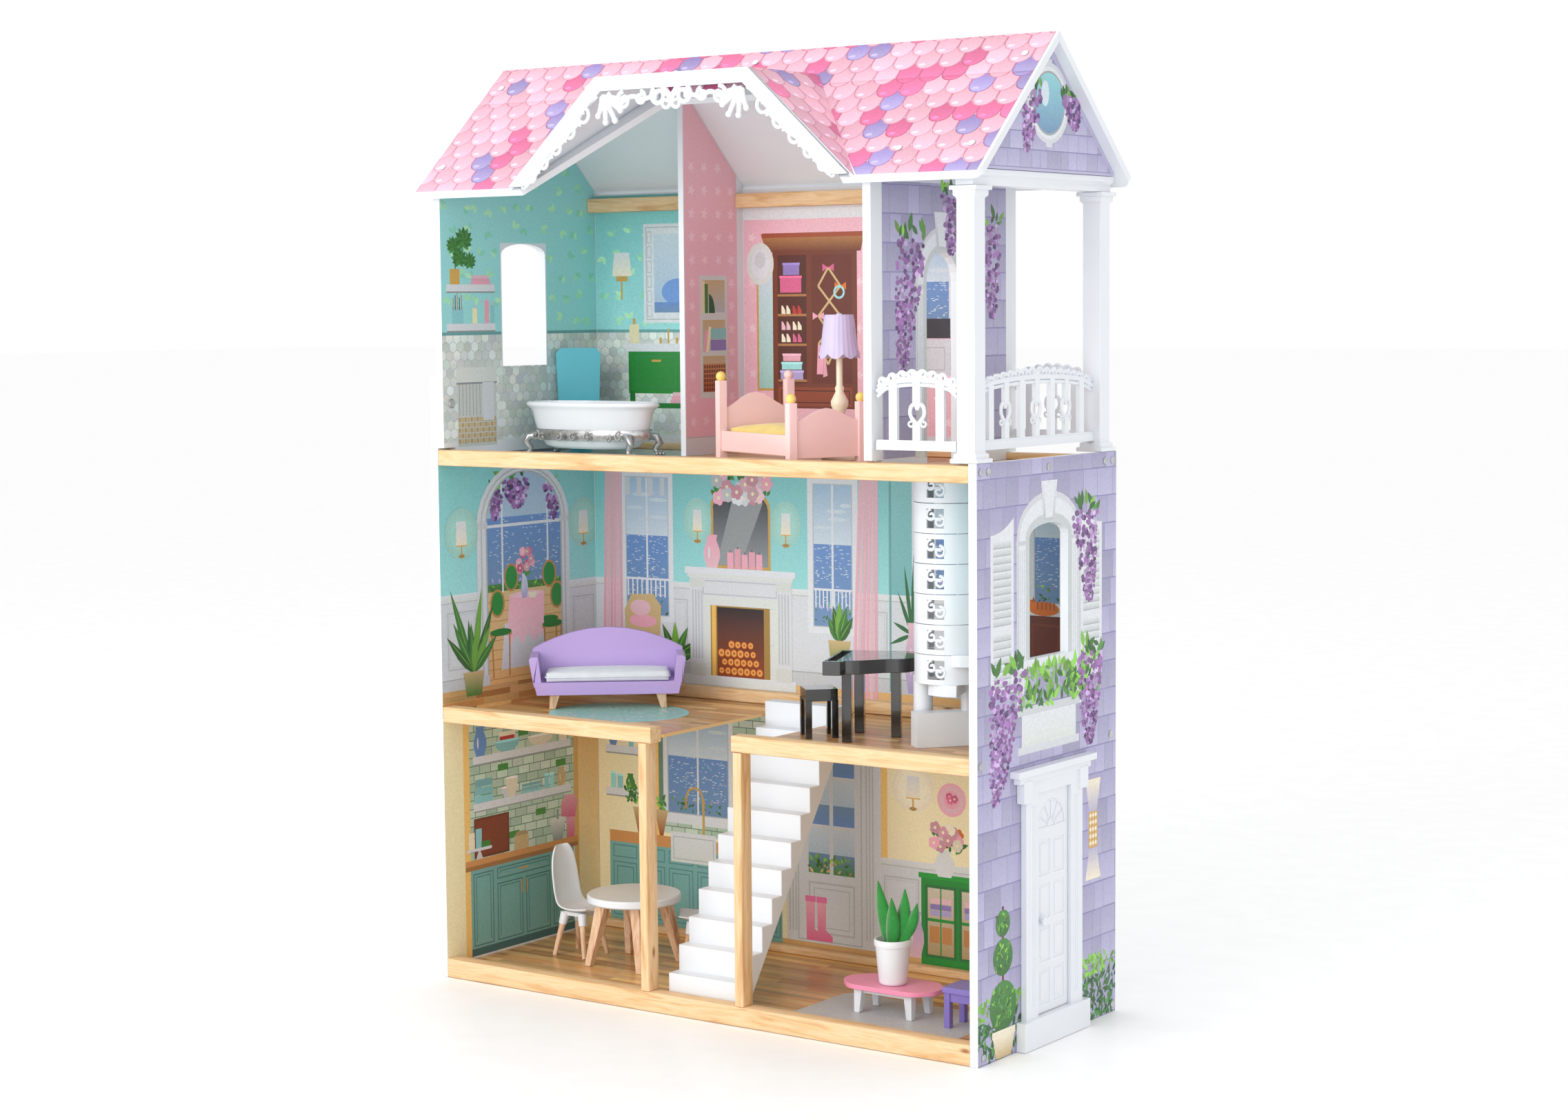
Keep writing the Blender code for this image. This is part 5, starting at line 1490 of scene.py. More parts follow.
def back_ground():
    """The kitchen's and the hall's back wall."""
    head = MID - 5
    art = Print("print_kitchen_back", on_back(BACK), (0, -1, 0), window=(LEFT, 2, RIGHT - 11.5, head))
    left, right = LEFT + 1, RIGHT - BOARD
    art.box(left, 2, right, head, "yellow", "yellow")
    art.box(100, 2, 122, head, "amber", light=1.08)
    art.box(483, 20, 496, head, "amber", light=1.1)
    art.box(left, 2, right, 31, "plank", light=0.95)
    # Kitchen: shelves, window over the sink, counter and cabinets.
    art.box(118, 155, 330, head, "grout")
    art.bricks((118, 155, 330, 176), 23, 10.5, TILES, 1.2)
    art.bricks((246, 155, 330, head), 23, 10.5, TILES, 1.2)
    shelf_row(art, 25, 82, 270,
              (("pot", 38, 16, 26, "blue"), ("jar", 56, 14, 20, "cream"), ("jar", 70, 9, 24, "aqua")))
    shelf_row(art, 25, 82, 210,
              (("jar", 38, 10, 23, "teal"), ("jar", 50, 10, 20, "aqua"), ("pot", 68, 16, 22, "leaf")))
    art.bush(60, 190, 80, 212, 30, 9, ["leaf", "moss", "bright leaf"])
    picture_window(art, 126, 176, 246, 330, 9, 1)
    art.box(120, 170, 250, 180, "white")
    art.box(168, 120, 172, 130, "white")
    art.box(30, 134, 326, 150, "wood", light=1.1)
    art.box(30, 22, 326, 134, "cabinet")
    for number in range(6):
        u = 36 + number * 49
        art.frame(u, 30, u + 42, 106, 1.5, "cabinet dark")
        art.frame(u + 6, 36, u + 36, 100, 1.5, "cabinet dark")
        art.frame(u, 112, u + 42, 130, 1.5, "cabinet dark")
    art.box(138, 116, 216, 158, "pearl", "white")
    art.frame(142, 120, 212, 152, 1.5, "shade")
    swan = [(180 + 16 * math.cos(a), 205 + 18 * math.sin(a)) for a in [math.pi * i / 10 for i in range(11)]]
    art.band(swan, [(180 + (x - 180) * 0.8, 205 + (z - 205) * 0.82) for x, z in swan], "gold")
    art.box(193, 158, 197, 206, "gold")
    art.box(163, 192, 167, 206, "gold", light=0.9)
    for u in (84, 104, 122):
        art.fill([(u - 3, 150), (u + 3, 150), (u + 12, 186), (u - 12, 186)], "brick", "straw")
    art.bush(74, 184, 134, 200, 26, 11, ["leaf", "bright leaf", "moss"])
    # Hall: a glazed door with boots beside it, wainscot, lamp, plate and green cabinet.
    wainscot(art, 484, right, 31, 150, ((490, 60, 545, 135), (668, 60, 730, 135), (742, 60, 808, 135)), 14)
    art.box(334, 31, 486, head, "white", light=0.97)
    for u in (462, 338):
        for flute in range(3):
            art.box(u + flute * 5, 44, u + 2 + flute * 5, head - 20, "shade")
    art.frame(352, 33, 456, head - 10, 2.2, "shade")
    for column in (370, 410):
        for low, high in ((126, 186), (192, 252), (258, 318)):
            art.box(column, low, column + 34, high, "sky", "foam")
            view = "blue" if low > 126 else "leaf"
            art.box(column, low, column + 34, low + (high - low) * 0.45, view, "sea")
    art.bush(372, 126, 440, 146, 50, 8, ["moss", "leaf", "straw"], ["bright leaf"])
    art.frame(370, 44, 444, 114, 2.5, "shade")
    art.frame(378, 52, 436, 106, 1.5, "shade")
    for u in (366, 384):
        art.fill([(u, 34), (u + 24, 34), (u + 24, 42), (u + 13, 50), (u + 14, 94), (u - 1, 94)], "rose",
                 "pink", 1.06)
        art.box(u - 2, 86, u + 15, 94, "hot pink")
    art.fill(oval(595, 244, 22, count=30), "pink", light=1.06)
    art.fill(oval(595, 244, 18, count=30), "blush")
    art.fill(oval(595, 244, 12, count=24), "cloth pink")
    art.flowers(590, 240, 600, 248, 3, 6, ["rose", "hot pink"])
    art.sconce(536, 240, 270, 22, "cream")
    art.box(548, 20, 660, 142, "vivid green", light=0.98)
    art.box(544, 138, 664, 145, "vivid green", light=1.1)
    for u in (554, 606):
        art.box(u, 34, u + 48, 130, "dark leaf", light=1.3)
        art.box(u + 4, 38, u + 44, 126, "straw", "cream", 0.86)
        for v, colour in ((90, "lavender"), (98, "lilac"), (106, "blush")):
            art.box(u + 8, v, u + 40, v + 7, colour)
        for basket in (u + 7, u + 26):
            art.box(basket, 54, basket + 15, 76, "wood")
        art.box(u + 4, 82, u + 44, 86, "vivid green")
        art.box(u + 23, 38, u + 25, 126, "vivid green")
    art.pot(584, 142, 178, 32, "white", "pearl")
    art.bush(568, 172, 606, 200, 26, 13, ["leaf", "moss"])
    art.flowers(566, 180, 606, 214, 15, 9, ["pink", "ember", "cloth pink", "cream"], "yellow")
    art.pot(538, 31, 92, 28, "blush", "lavender")
    picture_window(art, 680, 168, 790, 320, 8, 2)
    art.build()


LEAF_PAPER = ((158, 214, 176), (172, 222, 182), (134, 202, 178))


def leaf_paper(art, window, ceiling=None, step=29):
    """Rows of leaf pairs on the wallpaper, up to the ceiling's height over each place."""
    u0, v0, u1, v1 = window
    for row in range(int((v1 - v0) / step)):
        for column in range(int((u1 - u0) / step) + 1):
            u = u0 + (column + (0.5 if row % 2 else 0.1)) * step + art.dice.uniform(-4, 4)
            v = v0 + (row + 0.4) * step + art.dice.uniform(-4, 4)
            turn = art.dice.uniform(0, math.tau)
            if u0 + 10 < u < u1 - 10 and v < min(v1, ceiling(u) if ceiling else v1) - 18:
                for spread in (-0.5, 0.5):
                    tip = (u + 16 * math.cos(turn + spread), v + 11 * math.sin(turn + spread))
                    art.fill(leaf((u, v), tip, 7), art.dice.choice(LEAF_PAPER), light=1.12)


PEARL_TILE = (14, 15)  # one six-sided tile, across and up
PEARLS = ("pearl", "white", (226, 238, 228), (244, 244, 236), (222, 236, 230), (234, 242, 234))


def bathroom_prints():
    """Leafy wallpaper over pale tiles, with shelves, a hamper, a picture and a vanity."""
    rail, tiles = TILE_RAIL, UPPER + 20
    foot, eave = 708, 1010
    low_shelf, high_shelf, basin = 860, 911, 830
    art = Print("print_bath_side", on_left(LEFT_UPPER), (1, 0, 0))
    for u0, u1, v0, v1 in ((0, WINDOW_NEAR, foot, eave), (WINDOW_FAR, BACK_UPPER, foot, eave),
                           (WINDOW_NEAR, WINDOW_FAR, foot, 803), (WINDOW_NEAR, WINDOW_FAR, 966, eave)):
        art.fill(clipped(rect(u0, v0, u1, v1), (u0, rail, u1, eave)), "teal")
        art.fill(clipped(rect(u0, v0, u1, v1), (u0, 0, u1, rail)), "shade")
    # The wallpaper runs up under the roof.
    slope = math.tan(ROOF_PITCH)
    peak = span("left_upper_wall")[1].z - 2
    art.fill([(2, eave), (DEPTH - 12, eave), (DEPTH - 12, peak - (DEPTH / 2 - 12) * slope), (DEPTH / 2, peak),
              (2, peak - (DEPTH / 2 - 2) * slope)], "teal", "deep teal")
    for window_rect in ((0, tiles, WINDOW_NEAR, rail), (WINDOW_FAR, tiles, BACK_UPPER, rail),
                        (WINDOW_NEAR, tiles, WINDOW_FAR, 803)):
        art.scales(window_rect, *PEARL_TILE, PEARLS)

    def ceiling(y):
        return peak - abs(y - DEPTH / 2) * slope

    leaf_paper(art, (0, rail + 8, WINDOW_NEAR - 2, peak), ceiling)
    leaf_paper(art, (WINDOW_FAR + 2, rail + 8, BACK_UPPER, peak), ceiling)
    leaf_paper(art, (WINDOW_NEAR - 8, 976, WINDOW_FAR + 8, peak), ceiling)
    art.box(0, rail, WINDOW_NEAR, rail + 4, "deep teal", light=0.8)
    art.box(WINDOW_FAR, rail, BACK_UPPER, rail + 4, "deep teal", light=0.8)
    art.box(0, 706, BACK_UPPER, tiles, "white")
    for v in (high_shelf, low_shelf):
        art.box(10, v - 9, 105, v, "white")
        art.box(10, v - 11, 105, v - 9, "shade", light=0.8)
    art.box(17, high_shelf, 36, 931, "gold", light=1.05)
    for u, v, wide in ((45, 970, 30), (36, 946, 26), (56, 942, 22), (24, 962, 22)):
        art.box(27, 931, 28.4, v, "moss")
        for turn in range(-60, 241, 30):
            a = math.radians(turn)
            tip = (u + wide * 0.6 * math.cos(a), v + wide * 0.55 * math.sin(a))
            art.fill(leaf((u, v - 3), tip, wide * 0.3), "moss" if turn % 60 else "leaf", light=1.05)
    for number, colour in enumerate(("cloth pink", "pink", "blush")):
        art.box(58 + number, high_shelf + number * 4, 97 - number * 2, 915 + number * 4, colour)
    art.box(20, low_shelf, 42, 882, "aqua")
    for number in range(5):
        art.box(22 + number * 4, 878, 23.5 + number * 4, 894 + number % 3 * 3,
                ("wood", "charcoal")[number % 2])
    for u, tall, colour in ((60, 20, "yellow"), (74, 27, "teal"), (84, 30, "cloth pink"), (95, 24, "aqua")):
        art.box(u, low_shelf, u + 9, low_shelf + tall, colour)
        art.box(u + 2.5, low_shelf + tall, u + 6.5, 864 + tall, "white", light=0.9)
    # Laundry hamper.
    art.box(28, 700, 104, 786, "pearl", light=0.92)
    for number in range(11):
        art.box(31 + number * 6.7, 740, 32 + number * 6.7, 786, "grey")
    art.box(26, 783, 106, 803, "pearl")
    art.box(26, 781, 106, 783.5, "grey")
    for row in range(5):
        for number in range(13):
            art.box(29 + number * 5.8, 704 + row * 7, 33.6 + number * 5.8, 709.6 + row * 7, "straw",
                    light=0.9 + 0.1 * ((row + number) % 2))
    art.box(77, 733, 100, 783, "white", light=0.96)
    art.build()

    art = Print("print_bath_back", on_back(BACK_UPPER), (0, -1, 0))
    u0, u1 = LEFT_UPPER + 1, PARTITION - 9
    art.box(u0, rail, u1, 1032, "teal", "deep teal")
    art.box(u0, 700, u1, rail, "shade")
    art.scales((u0, tiles, u1, rail), *PEARL_TILE, PEARLS)
    leaf_paper(art, (u0, rail + 8, u1, 1012))
    art.box(u0, rail, u1, rail + 4, "deep teal", light=0.8)
    art.box(u0, 698, u1, tiles, "white")
    art.box(58, 915, 78, 928, "gold")
    art.fill([(51, 922), (85, 922), (81, 954), (55, 954)], "cream", "white")
    art.box(66, 890, 69, 918, "gold")
    # A blue picture in a lattice frame.
    art.box(106, 858, 236, 992, "white")
    art.frame(110, 862, 232, 988, 1.6, "shade")
    for u in (112, 222):
        for number in range(6):
            v = 866 + number * 20
            art.frame(u, v, u + 8, v + 16, 1.2, "shade")
    art.box(124, 872, 218, 978, "sky", "foam")
    art.fill(oval(165, 900, 28, 18, count=26), "blue", light=1.08)
    art.fill(oval(186, 912, 20, 14, count=22), "blue", light=1.18)
    art.box(124, 872, 218, 886, "sea", "blue")
    for angle in range(0, 360, 60):
        turn = math.radians(angle)
        art.fill(oval(186 + 9 * math.cos(turn), 950 + 9 * math.sin(turn), 6, count=10), "white")
    art.fill(oval(186, 950, 5, count=10), "yellow")
    # Vanity.
    art.box(78, 762, 250, 820, "vivid green", light=0.95)
    for u in (80, 240):
        art.box(u, 712, u + 9, 765, "vivid green", light=0.85)
    art.box(74, 819, 254, basin, "white")
    art.box(80, 742, 249, 749, "vivid green", light=0.85)
    art.frame(92, 770, 160, 813, 2, "dark leaf", 1.5)
    art.frame(170, 770, 238, 813, 2, "dark leaf", 1.5)
    for u in (118, 196):
        art.box(u, 805, u + 16, 808, "gold")
    art.box(146, basin, 149, 850, "gold")
    art.box(132, basin, 136, 838, "gold")
    art.box(160, basin, 164, 838, "gold")
    art.box(80, basin, 97, 856, "yellow", light=0.95)
    art.box(86, 856, 91, 864, "gold")
    for number, colour in enumerate(("pink", "cloth pink", "blush")):
        art.box(150 + number * 2, 749 + number * 5, 200 - number * 2, 754 + number * 5, colour)
    art.build()


def bedroom_prints():
    """Pink wallpaper with a bookcase, a wardrobe, a mirror and a window, and the faces that turn away."""
    art = Print("print_bedroom_side", on_left(PARTITION), (1, 0, 0))
    front, back = span("partition_wall")[0].y + 1.5, BACK_UPPER - 14
    foot = UPPER + 24
    peak = span("partition_wall")[1].z - 3
    slope = math.tan(ROOF_PITCH)
    art.fill([(front, foot), (back, foot), (back, peak - (back - front) * slope), (front, peak)], "wall pink")
    art.box(front, UPPER + 1, back, foot, "white", light=0.97)
    art.box(front, foot - 1.5, back, foot, "shade")
    for row in range(12):
        v = foot + 20 + row * 30
        for u in (204, 232, 262, 290):
            if v < peak - (u - front) * slope - 14 and not (214 < u < 285 and 756 < v < 925):
                for petal in range(5):
                    a = math.tau * petal / 5 + row
                    art.fill(leaf((u, v), (u + 8 * math.cos(a), v + 8 * math.sin(a)), 4), "petal")
    art.box(220, 760, 280, 920, "pearl", light=0.97)
    for v0, v1 in ((768, 815), (822, 862), (872, 914)):
        art.box(226, v0, 275, v1, "shade", "straw", 0.98)
    art.box(226, 768, 276, 805, "brick", "wood", 1.05)
    for row in range(6):
        for number in range(9):
            art.box(228 + number * 5.3, 769 + row * 6, 231.6 + number * 5.3, 773 + row * 6, "dark wood")
    art.box(224, 871, 231, 913, "yellow", light=0.92)
    art.box(231, 871, 238, 909, "leaf", light=0.9)
    art.fill(oval(240, 871, 13, 25, 0, 90, 8) + [(240, 871)], "dark leaf")
    art.fill([(226, 821), (232, 820), (238, 848), (232, 850)], "cloth pink")
    art.fill([(233, 820), (239, 822), (245, 852), (239, 854)], "yellow")
    art.box(243, 822, 277, 836, "lilac")
    art.box(243, 837, 277, 851, "teal", light=0.9)
    art.build()

    art = Print("print_bedroom_back", on_back(BACK_UPPER), (0, -1, 0))
    u0, u1 = PARTITION + 1, BALCONY - BOARD
    art.box(u0, UPPER + 12, u1, 1006, "wall pink")
    art.box(u0, 993, u1, 1012, "white")
    art.box(u0, UPPER + 10, u1, UPPER + 26, "white", light=0.97)
    for row in range(9):
        for column in range(12):
            u, v = u0 + 14 + column * 34 + row % 2 * 17, UPPER + 44 + row * 30
            if u < u1 - 10:
                for petal in range(5):
                    a = math.tau * petal / 5 + column
                    art.fill(leaf((u, v), (u + 7 * math.cos(a), v + 7 * math.sin(a)), 3.6), "petal")
    art.box(296, 768, 322, 947, "gold")
    art.box(299, 771, 322, 944, "mint", "foam")
    # The wardrobe: a cornice, shelves of boxes and shoes, and a door with a peg rack.
    art.box(322, 745, 456, 952, "dark wood")
    art.fill([(313, 950), (462, 950), (468, 974), (303, 974)], "dark wood", "wood", 0.95)
    art.box(305, 969, 466, 975, "dark wood", light=1.4)
    art.box(330, 778, 376, 946, "walnut")
    art.box(384, 778, 448, 946, "walnut", light=1.25)
    art.box(330, 748, 448, 773, "dark wood", light=1.25)
    art.frame(334, 752, 444, 769, 1.5, "walnut")
    for v in (895, 869, 830, 783):
        art.box(330, v - 3, 376, v, "wood", light=0.9)
    for u, v, wide, tall, colour in ((339, 920, 26, 16, "lilac"), (334, 897, 34, 22, "rose"),
                                     (334, 783, 36, 12, "lavender"), (336, 796, 32, 10, "teal"),
                                     (338, 807, 28, 10, "pink")):
        art.box(u, v, u + wide, v + tall, colour)
        art.box(u - 1, v + tall - 3, u + wide + 1, v + tall, colour, light=1.15)
    for u, v, colour in ((336, 869, "cream"), (354, 869, "red"), (336, 832, "cream"), (354, 832, "rose"),
                         (336, 848, "blush"), (354, 848, "cream")):
        for shoe in (u, u + 8):
            art.fill([(shoe, v), (shoe + 6.5, v), (shoe + 6, v + 5), (shoe + 2, v + 11), (shoe, v + 11)],
                     colour)
    rack = [(411, 929), (430, 905), (395, 866), (425, 830), (410, 803)]
    other = [(411, 929), (395, 905), (430, 866), (395, 830), (410, 803)]
    for line in (rack, other):
        for a, b in zip(line, line[1:]):
            side = (Vector(b) - Vector(a)).orthogonal().normalized() * 1.5
            art.fill([tuple(Vector(a) - side), tuple(Vector(b) - side), tuple(Vector(b) + side),
                      tuple(Vector(a) + side)], "straw")
    for (u, v), colour in zip(rack[:4], ("rose", "ember", "cloth pink", "lilac")):
        for side in (-1, 1):
            art.fill([(u, v), (u + side * 9, v + 5), (u + side * 9, v - 5)], colour)
    hoop = [oval(428, 897, reach, count=16) + [(428 + reach, 897)] for reach in (9, 6)]
    art.band(*hoop, "teal")
    art.fill(oval(411, TILE_RAIL, 6, count=14), "gold")
    art.fill([(392, 790), (402, 790), (404, 828), (394, 828)], "cloth pink")
    art.fill([(402, 786), (409, 788), (404, 826)], "pink")
    art.fill(oval(302, 935, 22, 28, count=28), "pearl")
    art.fill(oval(302, 935, 15, 20, count=24), "white")
    art.fill(oval(302, 940, 9, 11, count=20), "shade", light=1.08)
    picture_window(art, 555, 840, 640, 960, 6, 1)
    art.box(548, 790, 640, 836, "white", light=0.96)
    art.box(562, 837, 598, 862, "charcoal")
    art.frame(556, 796, 590, 826, 1.5, "shade")
    art.frame(598, 796, 632, 826, 1.5, "shade")
    art.build()

    # Plain papers on the faces that turn away from the front.
    away = Print("print_bedroom_away", on_right(span("balcony_wall")[0].x), (-1, 0, 0))
    for y0, y1, z0, z1 in ((24, 118, 700, 1010), (194, BACK_UPPER - 14, 700, 1010), (118, 194, 946, 1010)):
        away.box(y0, z0, y1, z1, "wall pink")
    away.build()
    away = Print("print_bath_away", on_right(span("partition_wall")[0].x), (-1, 0, 0))
    away.fill([(front, TILE_RAIL), (back, TILE_RAIL), (back, peak - (back - front) * slope), (front, peak)],
              "teal", "deep teal")
    away.box(front, UPPER + 1, back, TILE_RAIL, "shade")
    away.scales((front, UPPER + 2, back, TILE_RAIL), *PEARL_TILE, PEARLS)
    leaf_paper(away, (front, 853, back, 990))
    away.build()
    away = Print("print_right_away", on_right(span("right_wall")[0].x), (-1, 0, 0))
    for y0, y1 in ((0, WINDOW_NEAR), (WINDOW_FAR, BACK_UPPER)):
        away.box(y0, 500, y1, UPPER - 5, "teal", "deep teal")
    away.box(WINDOW_NEAR, 624, WINDOW_FAR, UPPER - 5, "teal", "deep teal")
    for y0, y1 in ((0, 126), (202, BACK_UPPER)):
        away.box(y0, GROUND + 1, y1, MID - 5, "yellow", "amber")
    away.box(126, 302, 202, MID - 5, "yellow")
    for y0, y1 in ((0, WINDOW_NEAR), (WINDOW_FAR, BACK_UPPER)):
        wainscot(away, y0, y1, MID + 2, 490, ((y0 + 14, 392, y1 - 14, 478),), 14)
    wainscot(away, WINDOW_NEAR, WINDOW_FAR, MID + 2, 452, ((126, 392, 202, 440),), 14)
    away.build()


def floor_prints():
    """Floorboards, the bathroom's tiles and two rugs."""
    art = Print("print_floor_ground", on_floor(GROUND), (0, 0, 1))
    low, high = span("ground_floor")
    art.planks((low.x, low.y, high.x, high.y), 13, BOARDS, 190)
    art.build(boards())
    rug = Print("print_rug", on_floor(GROUND), (0, 0, 1), 0.12)
    outline = []
    for x, y, start in ((758, 56, -90), (758, 160, 0), (544, 160, 90), (544, 56, 180)):
        outline += oval(x, y, 12, 12, start, start + 90, 5)
    rug.fill(outline, "rug", light=1.04)
    for _ in range(420):
        x, y = rug.dice.uniform(540, 762), rug.dice.uniform(50, 166)
        rug.box(x, y, x + 3, y + 0.9, "shade", light=rug.dice.uniform(0.9, 1.15))
    rug.build()

    art = Print("print_floor_mid", on_floor(MID), (0, 0, 1))
    low, high = span("mid_floor")
    well_left, well_right, well_back = 357.5, 488.5, 262.0
    for window in ((low.x, low.y, well_left, high.y), (well_right, low.y, high.x, high.y),
                   (well_left, well_back, well_right, high.y)):
        art.planks(window, 13, BOARDS, 170)
    art.build(boards())
    rug = Print("print_oval_rug", on_floor(MID), (0, 0, 1), 0.12)
    middle_x, middle_y, wide, deep, border = 191.5, 143, 96.5, 85, (8.5, 8)
    rug.fill(oval(middle_x, middle_y, wide, deep, count=48), "teal", light=0.94)
    rug.fill(oval(middle_x, middle_y, wide - border[0], deep - border[1], count=48), "mint", light=0.96)
    for _ in range(240):
        turn, out = rug.dice.uniform(0, math.tau), math.sqrt(rug.dice.random()) * 0.86
        x, y = middle_x + wide * out * math.cos(turn), middle_y + deep * out * math.sin(turn)
        rug.fill(leaf((x, y), (x + 7 * math.cos(turn * 5), y + 7 * math.sin(turn * 5)), 3.4),
                 rug.dice.choice(["deep teal", "foam", "cabinet", "pearl", "blush"]))
    rug.build()

    art = Print("print_floor_upper", on_floor(UPPER), (0, 0, 1))
    front, back = span("upper_floor")[0].y, span("upper_floor")[1].y
    art.planks((PARTITION + 1, front, BALCONY - BOARD, back), 13, BOARDS, 150)
    art.planks((BALCONY + 1, front, RIGHT - BOARD, back), 13, ("plank", "wood"), 150)
    art.box(LEFT_UPPER + 1, front, PARTITION - 9, back, "pearl")
    art.scales((LEFT_UPPER + 1, front, PARTITION - 9, back), 15, 17, ("white", "pearl", "mint"))
    art.build(boards())


def pictures():
    roof_prints()
    outside_prints()
    left_ground()
    left_mid()
    back_ground()
    back_mid()
    bathroom_prints()
    bedroom_prints()
    floor_prints()


# ---------------------------------------------------------------- furniture


def feature(node):
    """The middle of a CAD piece's footprint and its lowest level, in house millimetres."""
    low, high = span(node)
    return ((low.x + high.x) / 2, (low.y + high.y) / 2), low.z


BED_PLACE, BED_TURN = (545, 40), -25  # the bed's foot, and its turn from the house's X in degrees


def bed():
    top = span("bed_frame")[1].z
    softened("bed_frame", paint("bed", 0.4), "bed", 0.9,
             [(paint("bed ball", 0.35), lambda x, y, z: z > top - 14 and x < 420 or ball_near(x, y, z))])
    blanket("bed_cover", "bed", BED_PLACE, BED_TURN, (-168, 4, 20.5), (-8, 94, 42), "bed ball")


def ball_near(x, y, z):
    """True for the footboard's balls: they stand above its posts."""
    foot = Vector((x, y)) - Vector(BED_PLACE)
    turn = math.radians(-BED_TURN)
    own = foot.x * math.cos(turn) - foot.y * math.sin(turn)
    return own > -8 and z > UPPER + 78.5


def blanket(node, body, place, turn, low, high, colour):
    """A stuffed pad with crowned faces and a piped seam, from a cloth run with some pressure inside."""
    step, inset, corner, piping = 4.5, 3.0, 7.0, 1.6
    size = [high[i] - low[i] for i in range(3)]
    counts = [max(2, round(length / step)) for length in size]
    bm = bmesh.new()
    bmesh.ops.create_cube(bm, size=1)
    for axis in range(3):
        edges = [e for e in bm.edges if abs((e.verts[0].co - e.verts[1].co)[axis]) > 0.5]
        bmesh.ops.subdivide_edges(bm, edges=edges, cuts=counts[axis] - 1, use_grid_fill=True)
    for vert in bm.verts:
        share = vert.co + Vector((0.5, 0.5, 0.5))
        trims = (inset, inset, 0)
        vert.co = Vector([low[i] + trims[i] + (size[i] - 2 * trims[i]) * share[i] for i in range(3)])
        vert.co.z -= 1.5 * (share.z - 0.5)
    where = (place[0], place[1], {"bed": UPPER, "sofa": MID}[body] + 0.4)
    made = solid(node + "_pad", [bm], cloth(colour), body, where, turn, 0, (node,), 180)
    puff(made)
    seam = []
    level = (low[2] + high[2]) / 2
    left, right, near, far = low[0] + corner, high[0] - corner, low[1] + corner, high[1] - corner
    for x, y, start in ((right, near, -90), (right, far, 0), (left, far, 90), (left, near, 180)):
        seam += [(x + (corner - piping) * math.cos(math.radians(start + t)),
                  y + (corner - piping) * math.sin(math.radians(start + t)), level) for t in range(0, 91, 15)]
    seam.append(seam[0])
    solid(node + "_piping", [tube(seam, 1.1, 8, 1, (0, 0, 1))], cloth(colour), body, where, turn)
    return made


def puff(made):
    """Blows a closed cloth shape out a little, then keeps the result."""
    scene = bpy.context.scene
    low = min(vert.co.z for vert in made.data.vertices)
    pins = made.vertex_groups.new(name="seam")
    pins.add([v.index for v in made.data.vertices if v.co.z < low + 0.0008], 1.0, "REPLACE")
    run = made.modifiers.new("fill", "CLOTH")
    run.settings.use_pressure = True
    run.settings.uniform_pressure_force = 4.0
    run.settings.effector_weights.gravity = 0.0
    run.settings.vertex_group_mass = "seam"
    run.settings.tension_stiffness = run.settings.compression_stiffness = 12
    run.settings.mass = 0.15
    run.settings.quality = 8
    for number in range(1, 21):
        scene.frame_set(number)
    settled = bpy.data.meshes.new_from_object(made.evaluated_get(bpy.context.evaluated_depsgraph_get()))
    made.modifiers.clear()
    made.data = settled
    settled.shade_smooth()
    scene.frame_set(1)


def tub():
    """The bath's hollow shell, and its silver stand: a ring on four clawed feet, with curls along it."""
    low, high = span("tub")
    centre, _ = feature("tub")
    half = (high.x - low.x) / 2
    squash = (high.y - low.y) / 2 / half
    outside = [(0.1, 9), (62, 9), (76, 13), (88, 27), (94, 44), (98, 58), (103, 63)]
    rim = [(half - 1, 64.5), (half, 67), (half - 2, 69.6), (half - 6, 70)]
    inside = [(101, 68), (96, 62), (92, 46), (84, 28), (72, 18), (50, 14.5), (0.1, 14)]
    shell = turned(outside + rim + inside, 72, squash, closed=False)
    solid("bath", [shell], paint("white", 0.18), "bathtub",
          (*centre, UPPER + 0.3), 0, 0, ("tub",), 60)
    shapes = [turned([(85, 20), (92, 20.5), (95, 27), (93.5, 33), (92, 34.5), (90, 33)], 72, squash,
                     closed=False)]
    for x in (-1, 1):
        for y in (-1, 1):
            path = [(x * 74, y * 24, 26), (x * 84, y * 29, 25), (x * 88, y * 31, 17), (x * 82, y * 28.5, 9),
                    (x * 84, y * 29.5, 3.5), (x * 90, y * 32, 2.6)]
            shapes.append(tube(path, [5, 5.5, 5, 3.6, 3.4, 2.4], 10))
            shapes += [ball((x * (86 + 3 * n), y * (30 + n - 1) + 2.6 * (n - 1), 2.8), 2.8) for n in range(3)]
            shapes += [scrolled(x * 70, y * 33, 26, 7, x), scrolled(x * 56, y * 37.5, 24, 5.5, -x)]
    shapes += [scrolled(x, y * 41, 25, 6, x / 24) for x in (-24, 0.1, 24) for y in (-1, 1)]
    solid("bath_stand", shapes, silver(), "bathtub", (*centre, UPPER + 0.3), 0, 0, ("tub_stand",), 60)


def scrolled(x, y, z, reach, hand):
    """A small raised curl that lies against the stand's side."""
    path = []
    for i in range(17):
        turn = math.tau * 1.2 * i / 16 * (1 if hand > 0 else -1) + 1.2
        out = reach * (1 - i / 17)
        path.append((x + out * math.cos(turn), y, z + out * math.sin(turn)))
    return tube(path, 1.5, 6)


def toilet():
    softened("toilet_base", paint("toilet", 0.3), "toilet", 1.0)
    softened("toilet_lid", paint("white", 0.28), "toilet_seat", 0.8)


